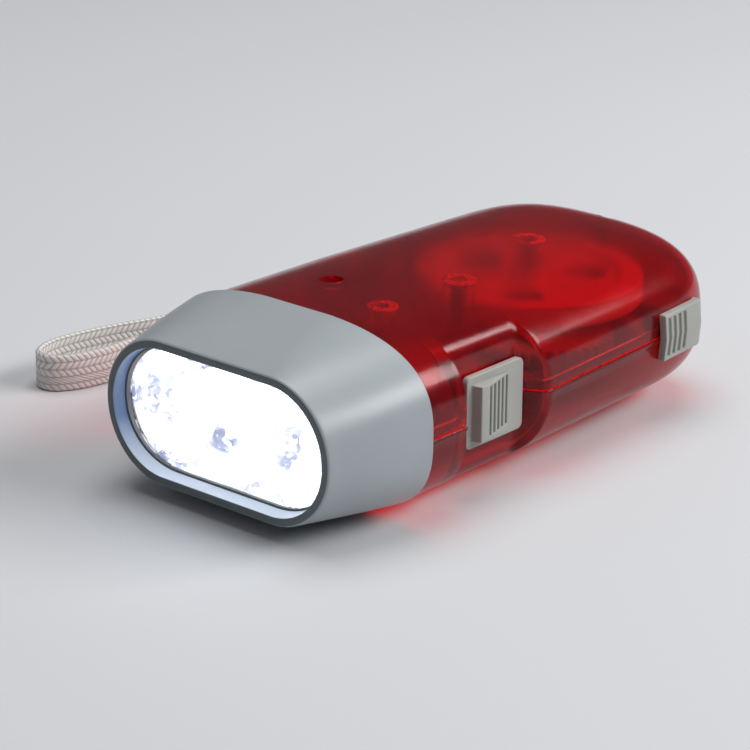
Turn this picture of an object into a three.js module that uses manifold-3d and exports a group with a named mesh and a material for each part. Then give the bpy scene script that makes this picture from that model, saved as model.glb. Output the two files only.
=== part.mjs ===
// Squeeze-lever dynamo flashlight, in millimetres, +Z up, the lens facing -Y.
// Stations run along Y from the front rim, and the whole part is moved at the end so that its
// origin lies under the middle of the housing. The switch is on the +X side, the lever on the -X side.
import * as THREE from 'three';
import { mergeVertices } from 'three/addons/utils/BufferGeometryUtils.js';
import Module from 'manifold-3d';

const wasm = await Module();
wasm.setup();

// Gaps and cuts
const seatGap = 0.3; // between pieces that touch
const runGap = 0.2; // round a shaft that turns in a bore
const seam = 0.3; // the parting line between the two shells
const overrun = 2; // how far a cut runs past what it cuts

// Housing of two shells
const housing = {
  length: 108,
  halfWidth: 29.1,
  rearHalfWidth: 26.5,
  lowerHeight: 16,
  upperHeight: 16,
  rearUpperHeight: 14.5,
  front: 20.9,
  taperStart: 51,
  tailLength: 26.6,
  wall: 1.8,
};
const tailStart = housing.length - housing.tailLength;
const midZ = housing.lowerHeight;
const housingTop = midZ + housing.upperHeight;

// What keeps its distance from the housing's rear end, measured forward from it
const fromEnd = {
  leverPivot: 51,
  leverEnd: 8.8,
  hook: 19.2,
  flywheel: 28.5,
  coilLimb: 13.6,
  lockFront: 22.8,
  lockRear: 10.6,
  lockStemFront: 18,
  lockStemRear: 14.8,
  latchFront: 17.8,
  latchBarFront: 14.4,
  latchBarRear: 12.8,
  latchToothFront: 16.6,
  rearScrew: 5,
  strapHole: 7.4,
  strapPin: 4.4,
};
const ahead = (distance) => housing.length - distance;

// What keeps its distance from the housing's flank, measured in from it
const fromFlank = {
  leverPivot: 7.1,
  leverFlange: 9.1,
  leverWindow: 9.5,
  hookReach: 13.5,
  recess: 4.5,
  contactLeft: 10.7,
  contactRight: 6.8,
  sliderStem: 8.5,
  lockStem: 7.1,
  latchLegLeft: 9.7,
  latchLegRight: 7.5,
  latchTooth: 10.55,
};
const within = (distance) => housing.halfWidth - distance;

const sectionExponent = 2.8;
const tailExponent = 4.4;
const quarterSteps = 6;
const lastSectionAngle = THREE.MathUtils.degToRad(82);
const tailSteps = 6;
const lastTailAngle = THREE.MathUtils.degToRad(84);
const recess = {
  frontStart: 28.7,
  frontEnd: 29.3,
  rearStart: 48.4,
  rearEnd: 51,
  halfWidth: within(fromFlank.recess),
};
const lip = { height: 1.2, inset: 1 };
const neck = { front: 17.4, wall: 1.4 };

// Counts of flat sides and of steps
const smallSides = 12;
const rodSides = 16;
const bobbinSides = 20;
const cupSides = 24;
const knuckleSides = 32;
const wheelSides = 40;
const holeSides = 10;
const cupSteps = 6;
const domeSteps = 5;
const armSteps = 6;
const strapSteps = 76;
const curveSteps = 8;
const cornerSteps = 4;

// Head
const head = {
  frontHalfWidth: 25,
  frontHalfHeight: 12.8,
  frontZ: 15.8,
  proudOfFlank: 0.6,
  proudOfTop: 0.3,
  back: 20.6,
  wall: 1.7,
  edge: 0.5,
  rim: 1.5,
};
const headBack = {
  halfWidth: housing.halfWidth + head.proudOfFlank,
  halfHeight: housing.upperHeight + head.proudOfTop,
  z: housing.lowerHeight + head.proudOfTop,
};
const bulgeShare = 0.06;
const headStationShares = [0.08, 0.3, 0.6, 0.9];
const lens = { front: 3.4, thick: 1.5, flangeThick: 1, flangeWidth: 1.1 };
const reflector = { depth: 10.4, cupRadius: 10.7, cupDepth: 9.3, cupSpacing: 14.4, holeRadius: 3.25 };
const board = { thick: 1.2 };
const led = {
  radius: 2.5,
  flangeRadius: 2.9,
  flangeThick: 1,
  bodyLength: 5.6,
  leadWidth: 0.6,
  leadLength: 3,
  leadSpacing: 2.54,
};

// Squeeze lever and its gear sector
const lever = {
  pivot: { x: -within(fromFlank.leverPivot), y: ahead(fromEnd.leverPivot) },
  bottom: 6.6,
  top: 25.4,
  end: ahead(fromEnd.leverEnd),
  knuckle: 7,
  flangeThick: 1.8,
  flangeEdge: -within(fromFlank.leverFlange),
  windowEdge: -within(fromFlank.leverWindow),
  gap: 0.35,
};
const sector = { module: 1, teeth: 50, bottom: 7.3, top: 10.7, rim: 3.2 };
const sectorSpareTeeth = { before: 1, after: 2, solid: 2 };
const sectorDirection = THREE.MathUtils.degToRad(-7.7);
const leverSwing = THREE.MathUtils.degToRad(22);
const hook = {
  front: ahead(fromEnd.hook),
  thick: 1.8,
  reach: -within(fromFlank.hookReach),
  barbThick: 0.8,
  barbLength: 2.1,
  bottom: 14.8,
  top: 17.2,
};
const pin = { radius: 1.5, bottom: 4.9, top: 26.7 };
const spring = { radius: 2.8, wire: 0.9, pitch: 1.45, curls: 5, bottom: 14.2, pocket: 4.4, arm: 12 };
const springSteps = 8;
const springSides = 5;

// Gear train
const clutch = { teeth: 10, bottom: 7, top: 11.2, armRadius: 5.9, armWidth: 1, armThick: 1.1, hub: 3 };
const clutchArms = 3;
const clutchArmSweep = THREE.MathUtils.degToRad(90);
const drive = {
  module: 0.7,
  teeth: 38,
  bottom: 12.9,
  top: 15.2,
  recessDepth: 1.5,
  notchInner: 6.3,
  notchOuter: 7.1,
  hub: 3,
  hubTop: 15.9,
};
const driveNotches = 12;
const idlerPinion = { module: 0.7, teeth: 10, bottom: 12.5, top: 16.4 };
const idlerGear = { module: 0.7, teeth: 34, bottom: 16.2, top: 18.4 };
const wheelPinion = { module: 0.7, teeth: 10, bottom: 15.8, top: 19.4 };
const axle = { radius: 1.25, bottom: 3 };
const bossRadius = 2.6;
const pressureAngle = THREE.MathUtils.degToRad(20);
const addendumShare = 0.85;
const dedendumShare = 1.2;
const backlash = 0.16;
const fewTeeth = 20;

// Flywheel and generator
const flywheel = {
  x: 2,
  y: ahead(fromEnd.flywheel),
  radius: 20.4,
  rimWidth: 3.8,
  bottom: 20,
  top: 23.8,
  webBottom: 21.3,
  webTop: 22.5,
  hub: 3.4,
  hubBottom: 19.7,
  hubTop: 24.3,
  windowRadius: 4.2,
  windowAt: 10.9,
};
const flywheelWindows = 3;
const shaft = { radius: 1.5, bottom: 3, top: 28.6 };
const magnet = { radius: 9, bore: 1.8, bottom: 6.2, top: 11.8 };
const stator = {
  bottom: 6.6,
  top: 11.4,
  gap: 0.6,
  arm: 3.6,
  limbY: ahead(fromEnd.coilLimb),
  limb: 3.6,
  padSize: 3,
};
const poleHalfAngle = THREE.MathUtils.degToRad(30);
const coil = { left: -2.6, right: 9.6, flange: 5, flangeThick: 0.9, wall: 0.6, wire: 0.6, pitch: 1.15 };
const coilTurns = 8;
const coilSteps = 14;
const coilSides = 5;

// Cells, switch, lock, screws and strap fixing
const cell = {
  x: -13.4,
  y: 33.4,
  radius: 5.8,
  height: 5.4,
  bottom: 6.4,
  wall: 1.1,
  ledge: 1.2,
  cradleTop: 13,
};
const cellNames = ['cell_lower', 'cell_middle', 'cell_upper'];
const slider = {
  front: 33,
  rear: 48,
  bottom: 9.6,
  top: 22.4,
  thick: 1.3,
  corner: 1.2,
  travel: 2.4,
  gripFront: 33.9,
  gripTop: 36.6,
  gripRear: 44.2,
  gripHeight: 1.9,
  gripInset: 1.4,
  groove: 0.7,
  grooveDepth: 0.7,
  groovePitch: 1.5,
  grooveEnd: 0.6,
  stemAt: 39,
  stemWidth: 3.4,
  stemHeight: 3.6,
  stemReach: within(fromFlank.sliderStem),
};
const sliderGrooves = 5;
const contact = {
  left: within(fromFlank.contactLeft),
  right: within(fromFlank.contactRight),
  front: 33,
  rear: 42,
  bottom: 13,
  top: 19,
};
const lock = {
  front: ahead(fromEnd.lockFront),
  rear: ahead(fromEnd.lockRear),
  bottom: 11.8,
  top: 20.4,
  thick: 1.5,
  travel: 3,
  groove: 0.9,
  grooveDepth: 0.5,
  groovePitch: 1.7,
  stemFront: ahead(fromEnd.lockStemFront),
  stemRear: ahead(fromEnd.lockStemRear),
  stemBottom: 14.5,
  stemTop: 17.5,
  stemReach: within(fromFlank.lockStem),
};
const lockGrooves = 4;
const latch = {
  legLeft: within(fromFlank.latchLegLeft),
  legRight: within(fromFlank.latchLegRight),
  front: ahead(fromEnd.latchFront),
  barFront: ahead(fromEnd.latchBarFront),
  barRear: ahead(fromEnd.latchBarRear),
  bottom: 14.7,
  top: 17.3,
  toothLeft: -within(fromFlank.latchTooth),
  toothThick: 0.8,
  toothFront: ahead(fromEnd.latchToothFront),
};
const screw = {
  headRadius: 2,
  headThick: 1.4,
  shankRadius: 1,
  length: 14,
  postRadius: 3.1,
  topPostRadius: 2.2,
  headDepth: 6,
  markRadius: 2.15,
  markDepth: 0.8,
};
const screwPlaces = {
  case_screw_front: { x: -3.2, y: 32.5 },
  case_screw_rear: { x: 0.5, y: ahead(fromEnd.rearScrew) },
};
const allScrewPlaces = Object.values(screwPlaces);
const strapHole = {
  left: -15,
  right: -5,
  bottom: 11,
  top: 19.6,
  front: ahead(fromEnd.strapHole),
  wall: 1.2,
};
const strapPin = { x: -10, y: ahead(fromEnd.strapPin), radius: 1.25 };
const strap = { width: 7, thick: 1.2 };

// The middle of the strap's width along its whole loop, from the pin out and back to it. Y is
// measured back from the housing's rear end.
const strapLine = [
  [-10.25, -6.55, 15.3], [-11.52, -5.92, 15.3], [-12.15, -4.4, 15.3], [-12.2, -1, 15.2],
  [-13.6, 2.4, 14.2], [-19, 5.4, 11.2], [-27, 4.4, 7.2], [-36, -1.6, 4.4], [-43.6, -11.6, 3.6],
  [-49.5, -25, 3.55], [-54.2, -40, 3.55], [-58, -55, 3.55], [-59.9, -66.8, 3.55],
  [-60.1, -75, 3.55], [-61.8, -81.2, 3.55], [-64.6, -84.4, 3.55], [-68, -83.8, 3.55],
  [-70, -79.4, 3.55], [-69.7, -73.4, 3.55], [-67.9, -65.6, 3.55], [-64.6, -56, 3.55],
  [-61.2, -41, 3.55], [-56.8, -25, 3.55], [-50, -10, 3.6], [-40, 2.6, 4.4], [-28.4, 10, 7.2],
  [-17.4, 11, 11.2], [-9.8, 6.4, 14.2], [-7.9, 0.4, 15.2], [-7.85, -4.4, 15.3],
  [-8.48, -5.92, 15.3], [-9.75, -6.55, 15.3],
];

// Colours
const look = {
  shell: { color: 0x9c1f24, roughness: 0.22, metalness: 0, transparent: true, opacity: 0.55 },
  grey: { color: 0x9aa0a2, roughness: 0.45, metalness: 0 },
  slide: { color: 0x84867e, roughness: 0.5, metalness: 0 },
  clear: { color: 0xf2f6f8, roughness: 0.05, metalness: 0, transparent: true, opacity: 0.3 },
  chrome: { color: 0xdfe3e6, roughness: 0.12, metalness: 1 },
  led: { color: 0xf6f4e6, roughness: 0.1, metalness: 0, transparent: true, opacity: 0.6 },
  board: { color: 0x2d6b45, roughness: 0.6, metalness: 0 },
  nylon: { color: 0xe9e4da, roughness: 0.5, metalness: 0 },
  steel: { color: 0xb4b7b9, roughness: 0.3, metalness: 1 },
  magnet: { color: 0x3b3b3e, roughness: 0.6, metalness: 0.4 },
  copper: { color: 0xb3652f, roughness: 0.35, metalness: 1 },
  brass: { color: 0xc2a14e, roughness: 0.3, metalness: 1 },
  black: { color: 0x222325, roughness: 0.6, metalness: 0 },
  webbing: { color: 0xd9d4cb, roughness: 0.9, metalness: 0 },
};

const flashlight = new THREE.Group();
flashlight.position.y = -housing.length / 2;

// Closed geometry to a solid: vertices are merged and faces that shrank to a line are left out.
function solid(geometry) {
  geometry.deleteAttribute('normal');
  geometry.deleteAttribute('uv');
  const merged = mergeVertices(geometry);
  const index = merged.index.array;
  const kept = [];
  for (let i = 0; i < index.length; i += 3) {
    const [a, b, c] = index.subarray(i, i + 3);
    if (a !== b && b !== c && c !== a) kept.push(a, b, c);
  }
  return new wasm.Manifold(new wasm.Mesh({
    numProp: 3,
    vertProperties: merged.attributes.position.array,
    triVerts: new Uint32Array(kept),
  }));
}

function addPiece(name, made, material) {
  const { vertProperties, triVerts } = made.getMesh();
  const geometry = new THREE.BufferGeometry();
  geometry.setAttribute('position', new THREE.BufferAttribute(vertProperties, 3));
  geometry.setIndex(new THREE.BufferAttribute(triVerts, 1));
  geometry.computeVertexNormals();
  const mesh = new THREE.Mesh(geometry, new THREE.MeshStandardMaterial(material));
  mesh.name = name;
  flashlight.add(mesh);
}

function joined(...solids) {
  return solids.reduce((all, one) => all.add(one));
}

function cut(from, ...solids) {
  return solids.reduce((left, one) => left.subtract(one), from);
}

// A box between two corners.
function box(left, right, front, rear, bottom, top) {
  const shape = new THREE.BoxGeometry(right - left, rear - front, top - bottom);
  shape.translate((left + right) / 2, (front + rear) / 2, (bottom + top) / 2);
  return solid(shape);
}

// An upright round rod.
function rod(place, radius, bottom, top, sides = rodSides) {
  const shape = new THREE.CylinderGeometry(radius, radius, top - bottom, sides);
  shape.rotateX(Math.PI / 2);
  shape.translate(place.x, place.y, (bottom + top) / 2);
  return solid(shape);
}

// An upright turned piece, from its profile of [radius, height] pairs.
function turned(place, profile, sides) {
  const shape = new THREE.LatheGeometry(profile.map(([r, z]) => new THREE.Vector2(r, z)), sides);
  shape.rotateX(Math.PI / 2);
  shape.translate(place.x, place.y, 0);
  return solid(shape);
}

// A flat outline in X and Y made thick along Z.
function slab(outline, bottom, top) {
  const settings = { depth: top - bottom, bevelEnabled: false, curveSegments: curveSteps };
  const shape = new THREE.ExtrudeGeometry(outline, settings);
  shape.translate(0, 0, bottom);
  return solid(shape);
}

// An outline in X and Z made thick along Y.
function across(outline, front, rear) {
  const settings = { depth: rear - front, bevelEnabled: false, curveSegments: curveSteps };
  const shape = new THREE.ExtrudeGeometry(outline, settings);
  shape.rotateX(Math.PI / 2);
  shape.translate(0, rear, 0);
  return solid(shape);
}

// Rings of points, one after another, skinned and closed at both ends.
function lofted(rings, rearTip) {
  const count = rings[0].length;
  const points = rings.flat();
  const middle = (ring) => ring.reduce((sum, p) => sum.add(p), new THREE.Vector3()).divideScalar(count);
  const frontTip = points.push(middle(rings[0])) - 1;
  const rearIndex = points.push(rearTip ?? middle(rings.at(-1))) - 1;
  const faces = [];
  for (let k = 0; k < count; k++) {
    const next = (k + 1) % count;
    for (let r = 0; r < rings.length - 1; r++) {
      const here = r * count;
      const there = here + count;
      faces.push(here + k, there + k, here + next, here + next, there + k, there + next);
    }
    const last = (rings.length - 1) * count;
    faces.push(frontTip, k, next, rearIndex, last + next, last + k);
  }
  const geometry = new THREE.BufferGeometry().setFromPoints(points);
  geometry.setIndex(faces);
  return solid(geometry);
}

// A quarter of a section, from its side to the end of its flat top, as shares of its half sizes.
function quarterShares() {
  const shares = [];
  for (let k = 0; k <= quarterSteps; k++) {
    const angle = (lastSectionAngle * k) / quarterSteps;
    const power = 2 / sectionExponent;
    const rise = Math.sin(angle) / Math.sin(lastSectionAngle);
    shares.push({ x: Math.cos(angle) ** power, z: rise ** power });
  }
  return shares;
}

// A whole ring from a quarter of it, mirrored both ways. Its upper half may be flatter, and its
// -X half wider.
function ringOf(quarter, y, centreZ, upperShare = 1, leftShare = 1) {
  const back = [...quarter].reverse();
  const inner = quarter.slice(1);
  return [
    ...quarter.map((p) => new THREE.Vector3(p.x, y, centreZ + p.z * upperShare)),
    ...back.map((p) => new THREE.Vector3(-p.x * leftShare, y, centreZ + p.z * upperShare)),
    ...inner.map((p) => new THREE.Vector3(-p.x * leftShare, y, centreZ - p.z)),
    ...back.slice(0, -1).map((p) => new THREE.Vector3(p.x, y, centreZ - p.z)),
  ];
}

// The housing's form, drawn in by an inset: its half sizes at a station.
function tailShare(y, inset) {
  const into = Math.max(y - tailStart, 0) / (housing.tailLength - inset);
  return (1 - Math.min(into, 1) ** tailExponent) ** (1 / tailExponent);
}

function lowerHeightAt(y, inset) {
  return (housing.lowerHeight - inset) * tailShare(y, inset);
}

function upperHeightAt(y, inset) {
  const along = (y - housing.front) / (housing.length - housing.front);
  const full = THREE.MathUtils.lerp(housing.upperHeight, housing.rearUpperHeight, along);
  return (full - inset) * tailShare(y, inset);
}

// The stations of the thumb recess, moved so that its walls keep their thickness.
function recessStations(inset) {
  const rearSlope = Math.atan2(housing.halfWidth - recess.halfWidth, recess.rearEnd - recess.rearStart);
  const rearShift = inset * Math.tan(rearSlope / 2);
  return [recess.frontStart - inset, recess.frontEnd - inset, recess.rearStart + rearShift,
    recess.rearEnd + rearShift];
}

// The half width of the -X side, which has no recess.
function leftHalfWidthAt(y, inset) {
  const tapered = Math.max(y - housing.taperStart, 0) / (housing.length - housing.taperStart);
  const flank = THREE.MathUtils.lerp(housing.halfWidth, housing.rearHalfWidth, tapered);
  return (flank - inset) * tailShare(y, inset);
}

// The half width of the +X side, with the switch in its recess.
function halfWidthAt(y, inset) {
  const [frontStart, frontEnd, rearStart, rearEnd] = recessStations(inset);
  const into = Math.min(
    THREE.MathUtils.clamp((y - frontStart) / (frontEnd - frontStart), 0, 1),
    THREE.MathUtils.clamp((rearEnd - y) / (rearEnd - rearStart), 0, 1),
  );
  const flank = leftHalfWidthAt(y, inset);
  return THREE.MathUtils.lerp(flank, (recess.halfWidth - inset) * tailShare(y, inset), into);
}

function housingForm(inset, front = housing.front) {
  const stations = [front, ...recessStations(inset), tailStart];
  const reach = housing.tailLength - inset;
  for (let k = 1; k <= tailSteps; k++) {
    const angle = (lastTailAngle * k) / tailSteps;
    stations.push(tailStart + reach * Math.sin(angle) ** (2 / tailExponent));
  }
  stations.push((recess.frontEnd + recess.rearStart) / 2);
  stations.sort((a, b) => a - b);
  const shares = quarterShares();
  const rings = stations.map((y) => {
    const [wide, high] = [halfWidthAt(y, inset), lowerHeightAt(y, inset)];
    const quarter = shares.map((p) => ({ x: p.x * wide, z: p.z * high }));
    return ringOf(quarter, y, midZ, upperHeightAt(y, inset) / high, leftHalfWidthAt(y, inset) / wide);
  });
  return lofted(rings, new THREE.Vector3(0, tailStart + reach, midZ));
}

// How high the housing's underside and top lie at a place.
function heightShareAt(place) {
  const sideWidth = place.x < 0 ? leftHalfWidthAt : halfWidthAt;
  const aside = Math.abs(place.x) / sideWidth(place.y, 0);
  return (1 - aside ** sectionExponent) ** (1 / sectionExponent);
}

function undersideAt(place) {
  return midZ - lowerHeightAt(place.y, 0) * heightShareAt(place);
}

function topAt(place) {
  return midZ + upperHeightAt(place.y, 0) * heightShareAt(place);
}

// The head's form: a stadium at the front rim that swells to the housing's section.
function headRing(y, inset) {
  const along = y / head.back;
  const share = along + bulgeShare * Math.sin(along * Math.PI);
  const straight = head.frontHalfWidth - head.frontHalfHeight;
  const centreZ = THREE.MathUtils.lerp(head.frontZ, headBack.z, share);
  const quarter = quarterShares().map((p, k) => {
    const angle = ((Math.PI / 2) * k) / quarterSteps;
    const front = { x: straight + (head.frontHalfHeight - inset) * Math.cos(angle),
      z: (head.frontHalfHeight - inset) * Math.sin(angle) };
    const back = { x: (headBack.halfWidth - inset) * p.x, z: (headBack.halfHeight - inset) * p.z };
    return {
      x: THREE.MathUtils.lerp(front.x, back.x, share),
      z: THREE.MathUtils.lerp(front.z, back.z, share),
    };
  });
  return ringOf(quarter, y, centreZ);
}

function headLoft(inset, front, back) {
  const stations = headStationShares.map((share) => share * head.back);
  const between = stations.filter((y) => y > front && y < back);
  return lofted([front, ...between, back].map((y) => headRing(y, inset)));
}

// A stadium in X and Z, drawn in from the front rim's outline.
function stadium(inset) {
  const straight = head.frontHalfWidth - head.frontHalfHeight;
  const radius = head.frontHalfHeight - inset;
  const outline = new THREE.Shape();
  outline.absarc(straight, 0, radius, -Math.PI / 2, Math.PI / 2);
  outline.absarc(-straight, 0, radius, Math.PI / 2, (3 * Math.PI) / 2);
  return outline;
}

function stadiumPlate(inset, front, rear) {
  return across(stadium(inset), front, rear).translate([0, 0, head.frontZ]);
}

const lensRear = lens.front + lens.thick;
const reflectorFront = lensRear + seatGap;
const reflectorRear = reflectorFront + reflector.depth;
const boardFront = reflectorRear + seatGap;
const boardRear = boardFront + board.thick;
const lensInset = head.wall + seatGap;

function headBezel() {
  const outer = joined(
    headLoft(0, head.edge, head.back),
    lofted([headRing(0, head.edge), headRing(head.edge, 0)]),
  );
  const mouth = lofted([
    headRing(-overrun, head.rim - head.edge),
    headRing(lens.front - lens.flangeThick, head.rim + head.edge),
  ]);
  const flangeHole = stadiumPlate(head.rim + lens.flangeWidth, -overrun, lens.front + overrun);
  const cavity = headLoft(head.wall, lens.front - seatGap, head.back).add(
    lofted([headRing(head.back - head.edge, head.wall), headRing(head.back + overrun, head.wall)]),
  );
  return cut(outer, mouth, flangeHole, cavity);
}

function reflectorCups() {
  const floor = reflectorFront + reflector.cupDepth;
  const profile = [];
  for (let k = 0; k <= cupSteps; k++) {
    const share = k / cupSteps;
    profile.push(new THREE.Vector2(reflector.cupRadius * share, reflector.cupDepth * share ** 2 - floor));
  }
  const mouth = -reflectorFront + overrun;
  profile.push(new THREE.Vector2(reflector.cupRadius, mouth), new THREE.Vector2(0, mouth));
  return [-reflector.cupSpacing, 0, reflector.cupSpacing].map((x) => {
    const cup = new THREE.LatheGeometry(profile, cupSides);
    cup.rotateX(Math.PI);
    cup.translate(x, 0, head.frontZ);
    const { holeRadius, depth } = reflector;
    const hole = new THREE.CylinderGeometry(holeRadius, holeRadius, depth + overrun, bobbinSides);
    hole.translate(x, reflectorRear - reflector.depth / 2 + overrun, head.frontZ);
    return solid(cup).add(solid(hole));
  });
}

function ledLamp(x) {
  const base = boardFront - seatGap;
  const tip = base - led.flangeThick - led.bodyLength - led.radius;
  const profile = [
    [0, -base], [led.flangeRadius, -base], [led.flangeRadius, led.flangeThick - base],
    [led.radius, led.flangeThick - base],
  ];
  for (let k = 0; k < domeSteps; k++) {
    const angle = ((Math.PI / 2) * k) / domeSteps;
    profile.push([led.radius * Math.cos(angle), led.radius * Math.sin(angle) - led.radius - tip]);
  }
  profile.push([0, -tip]);
  const body = new THREE.LatheGeometry(profile.map(([r, y]) => new THREE.Vector2(r, y)), rodSides);
  body.rotateX(Math.PI);
  body.translate(x, 0, head.frontZ);
  const leads = [-1, 1].map((side) => {
    const at = x + (side * led.leadSpacing) / 2;
    const half = led.leadWidth / 2;
    return box(at - half, at + half, base - half, base + led.leadLength, head.frontZ - half,
      head.frontZ + half);
  });
  return joined(solid(body), ...leads);
}

function ledBoard(lamps) {
  const plate = stadiumPlate(lensInset, boardFront, boardRear);
  const holes = lamps.flatMap((x) => [-1, 1].map((side) => {
    const length = board.thick + 2 * overrun;
    const hole = new THREE.CylinderGeometry(led.leadWidth, led.leadWidth, length, holeSides);
    hole.translate(x + (side * led.leadSpacing) / 2, boardFront, head.frontZ);
    return solid(hole);
  }));
  return cut(plate, ...holes);
}

// Involute gears
function pitchRadius(gear) {
  return (gear.module * gear.teeth) / 2;
}

function tipRadius(gear) {
  return pitchRadius(gear) + addendumShare * gear.module;
}

function rootRadius(gear) {
  return pitchRadius(gear) - dedendumShare * gear.module;
}

function involute(angle) {
  return Math.tan(angle) - angle;
}

function halfToothAngle(gear, radius) {
  const pitch = pitchRadius(gear);
  const base = pitch * Math.cos(pressureAngle);
  const here = Math.acos(Math.min(base / Math.max(radius, base), 1));
  return (Math.PI / 2 - backlash / gear.module) / gear.teeth + involute(pressureAngle) - involute(here);
}

function toothPoints(gear, centre) {
  const [root, tip] = [rootRadius(gear), tipRadius(gear)];
  const radii = gear.teeth > fewTeeth ? [root, tip] : [root, (root + tip) / 2, tip];
  const at = (radius, side) => {
    const angle = centre + side * halfToothAngle(gear, radius);
    return new THREE.Vector2(radius * Math.cos(angle), radius * Math.sin(angle));
  };
  return [...radii.map((r) => at(r, -1)), ...radii.reverse().map((r) => at(r, 1))];
}

function gearSolid(gear, place, phase) {
  const points = [];
  for (let k = 0; k < gear.teeth; k++) {
    points.push(...toothPoints(gear, phase + (2 * Math.PI * k) / gear.teeth));
  }
  return slab(new THREE.Shape(points), gear.bottom, gear.top).translate([place.x, place.y, 0]);
}

// The angle of a tooth of the second gear when it meshes with the first.
function meshedPhase(first, firstPlace, firstPhase, second, secondPlace) {
  const towards = Math.atan2(secondPlace.y - firstPlace.y, secondPlace.x - firstPlace.x);
  const pitches = ((towards - firstPhase) * first.teeth) / (2 * Math.PI);
  return towards + Math.PI - ((1 / 2 - pitches) * 2 * Math.PI) / second.teeth;
}

const clutchGear = { ...clutch, module: sector.module };
const pivotToClutch = pitchRadius(sector) + pitchRadius(clutchGear);
const clutchPlace = {
  x: lever.pivot.x + pivotToClutch * Math.cos(sectorDirection),
  y: lever.pivot.y + pivotToClutch * Math.sin(sectorDirection),
};

// The idler stands where it meshes with both the drive gear and the flywheel's pinion.
function idlerPlaceFor() {
  const toDrive = pitchRadius(drive) + pitchRadius(idlerPinion);
  const toWheel = pitchRadius(idlerGear) + pitchRadius(wheelPinion);
  const [dx, dy] = [flywheel.x - clutchPlace.x, flywheel.y - clutchPlace.y];
  const apart = Math.hypot(dx, dy);
  const along = (toDrive ** 2 - toWheel ** 2 + apart ** 2) / (2 * apart);
  const aside = Math.sqrt(toDrive ** 2 - along ** 2);
  return {
    x: clutchPlace.x + (along * dx + aside * dy) / apart,
    y: clutchPlace.y + (along * dy - aside * dx) / apart,
  };
}

const idlerPlace = idlerPlaceFor();
const sectorPhase = sectorDirection;
const clutchPhase = meshedPhase(sector, lever.pivot, sectorPhase, clutchGear, clutchPlace);
const idlerGearPhase = meshedPhase(wheelPinion, flywheel, 0, idlerGear, idlerPlace);
const drivePhase = meshedPhase(idlerPinion, idlerPlace, 0, drive, clutchPlace);

function bored(made, place, shaftRadius, gap, bottom, top) {
  return made.subtract(rod(place, shaftRadius + gap, bottom - overrun, top + overrun));
}

// The pinion that the lever turns, with the clutch's spring arms on top.
function clutchPinion() {
  const hubTop = drive.bottom + drive.recessDepth - clutch.armThick - seatGap;
  const arms = [];
  for (let k = 0; k < clutchArms; k++) {
    const outer = [];
    const inner = [];
    for (let s = 0; s <= armSteps; s++) {
      const angle = (2 * Math.PI * k) / clutchArms + (s / armSteps) * clutchArmSweep;
      const radius = THREE.MathUtils.lerp(clutch.hub, clutch.armRadius, s / armSteps);
      outer.push(new THREE.Vector2(radius * Math.cos(angle), radius * Math.sin(angle)));
      const less = radius - clutch.armWidth;
      inner.unshift(new THREE.Vector2(less * Math.cos(angle), less * Math.sin(angle)));
    }
    arms.push(slab(new THREE.Shape([...outer, ...inner]), hubTop, hubTop + clutch.armThick)
      .translate([clutchPlace.x, clutchPlace.y, 0]));
  }
  const hub = rod(clutchPlace, clutch.hub, clutch.top - seatGap, hubTop + clutch.armThick);
  const made = joined(gearSolid(clutchGear, clutchPlace, clutchPhase), hub, ...arms);
  return bored(made, clutchPlace, axle.radius, runGap, clutch.bottom, drive.top);
}

// The large gear over it, with the ring of ratchet notches that the arms catch.
function driveGear() {
  const notches = [];
  for (let k = 0; k < driveNotches; k++) {
    const start = (2 * Math.PI * k) / driveNotches;
    const end = start + (2 * Math.PI) / driveNotches;
    notches.push(new THREE.Vector2(drive.notchInner * Math.cos(start), drive.notchInner * Math.sin(start)));
    notches.push(new THREE.Vector2(drive.notchOuter * Math.cos(end), drive.notchOuter * Math.sin(end)));
  }
  const ring = slab(new THREE.Shape(notches), drive.bottom - overrun, drive.bottom + drive.recessDepth)
    .translate([clutchPlace.x, clutchPlace.y, 0]);
  const hub = rod(clutchPlace, drive.hub, drive.top - seatGap, drive.hubTop);
  const made = joined(gearSolid(drive, clutchPlace, drivePhase), hub).subtract(ring);
  return bored(made, clutchPlace, axle.radius, runGap, drive.bottom, drive.hubTop);
}

function idlerWheel() {
  const pinion = gearSolid(idlerPinion, idlerPlace, 0);
  const made = joined(pinion, gearSolid(idlerGear, idlerPlace, idlerGearPhase));
  return bored(made, idlerPlace, axle.radius, runGap, idlerPinion.bottom, idlerGear.top);
}

function flywheelDisc() {
  const edge = flywheel.radius - flywheel.rimWidth;
  const disc = turned(flywheel, [
    [0, flywheel.hubBottom], [flywheel.hub, flywheel.hubBottom], [flywheel.hub, flywheel.webBottom],
    [edge, flywheel.webBottom], [edge, flywheel.bottom], [flywheel.radius, flywheel.bottom],
    [flywheel.radius, flywheel.top], [edge, flywheel.top], [edge, flywheel.webTop],
    [flywheel.hub, flywheel.webTop], [flywheel.hub, flywheel.hubTop], [0, flywheel.hubTop],
  ], wheelSides);
  const windows = [];
  for (let k = 0; k < flywheelWindows; k++) {
    const angle = (2 * Math.PI * (k + 1 / 2)) / flywheelWindows;
    const place = { x: flywheel.x + flywheel.windowAt * Math.cos(angle),
      y: flywheel.y + flywheel.windowAt * Math.sin(angle) };
    windows.push(rod(place, flywheel.windowRadius, flywheel.bottom, flywheel.top));
  }
  const pinned = bored(disc, flywheel, shaft.radius, seatGap, flywheel.hubBottom, flywheel.hubTop);
  return cut(pinned, ...windows);
}

function rotorMagnet() {
  const disc = rod(flywheel, magnet.radius, magnet.bottom, magnet.top, cupSides);
  return bored(disc, flywheel, magnet.bore, 0, magnet.bottom, magnet.top);
}

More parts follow.
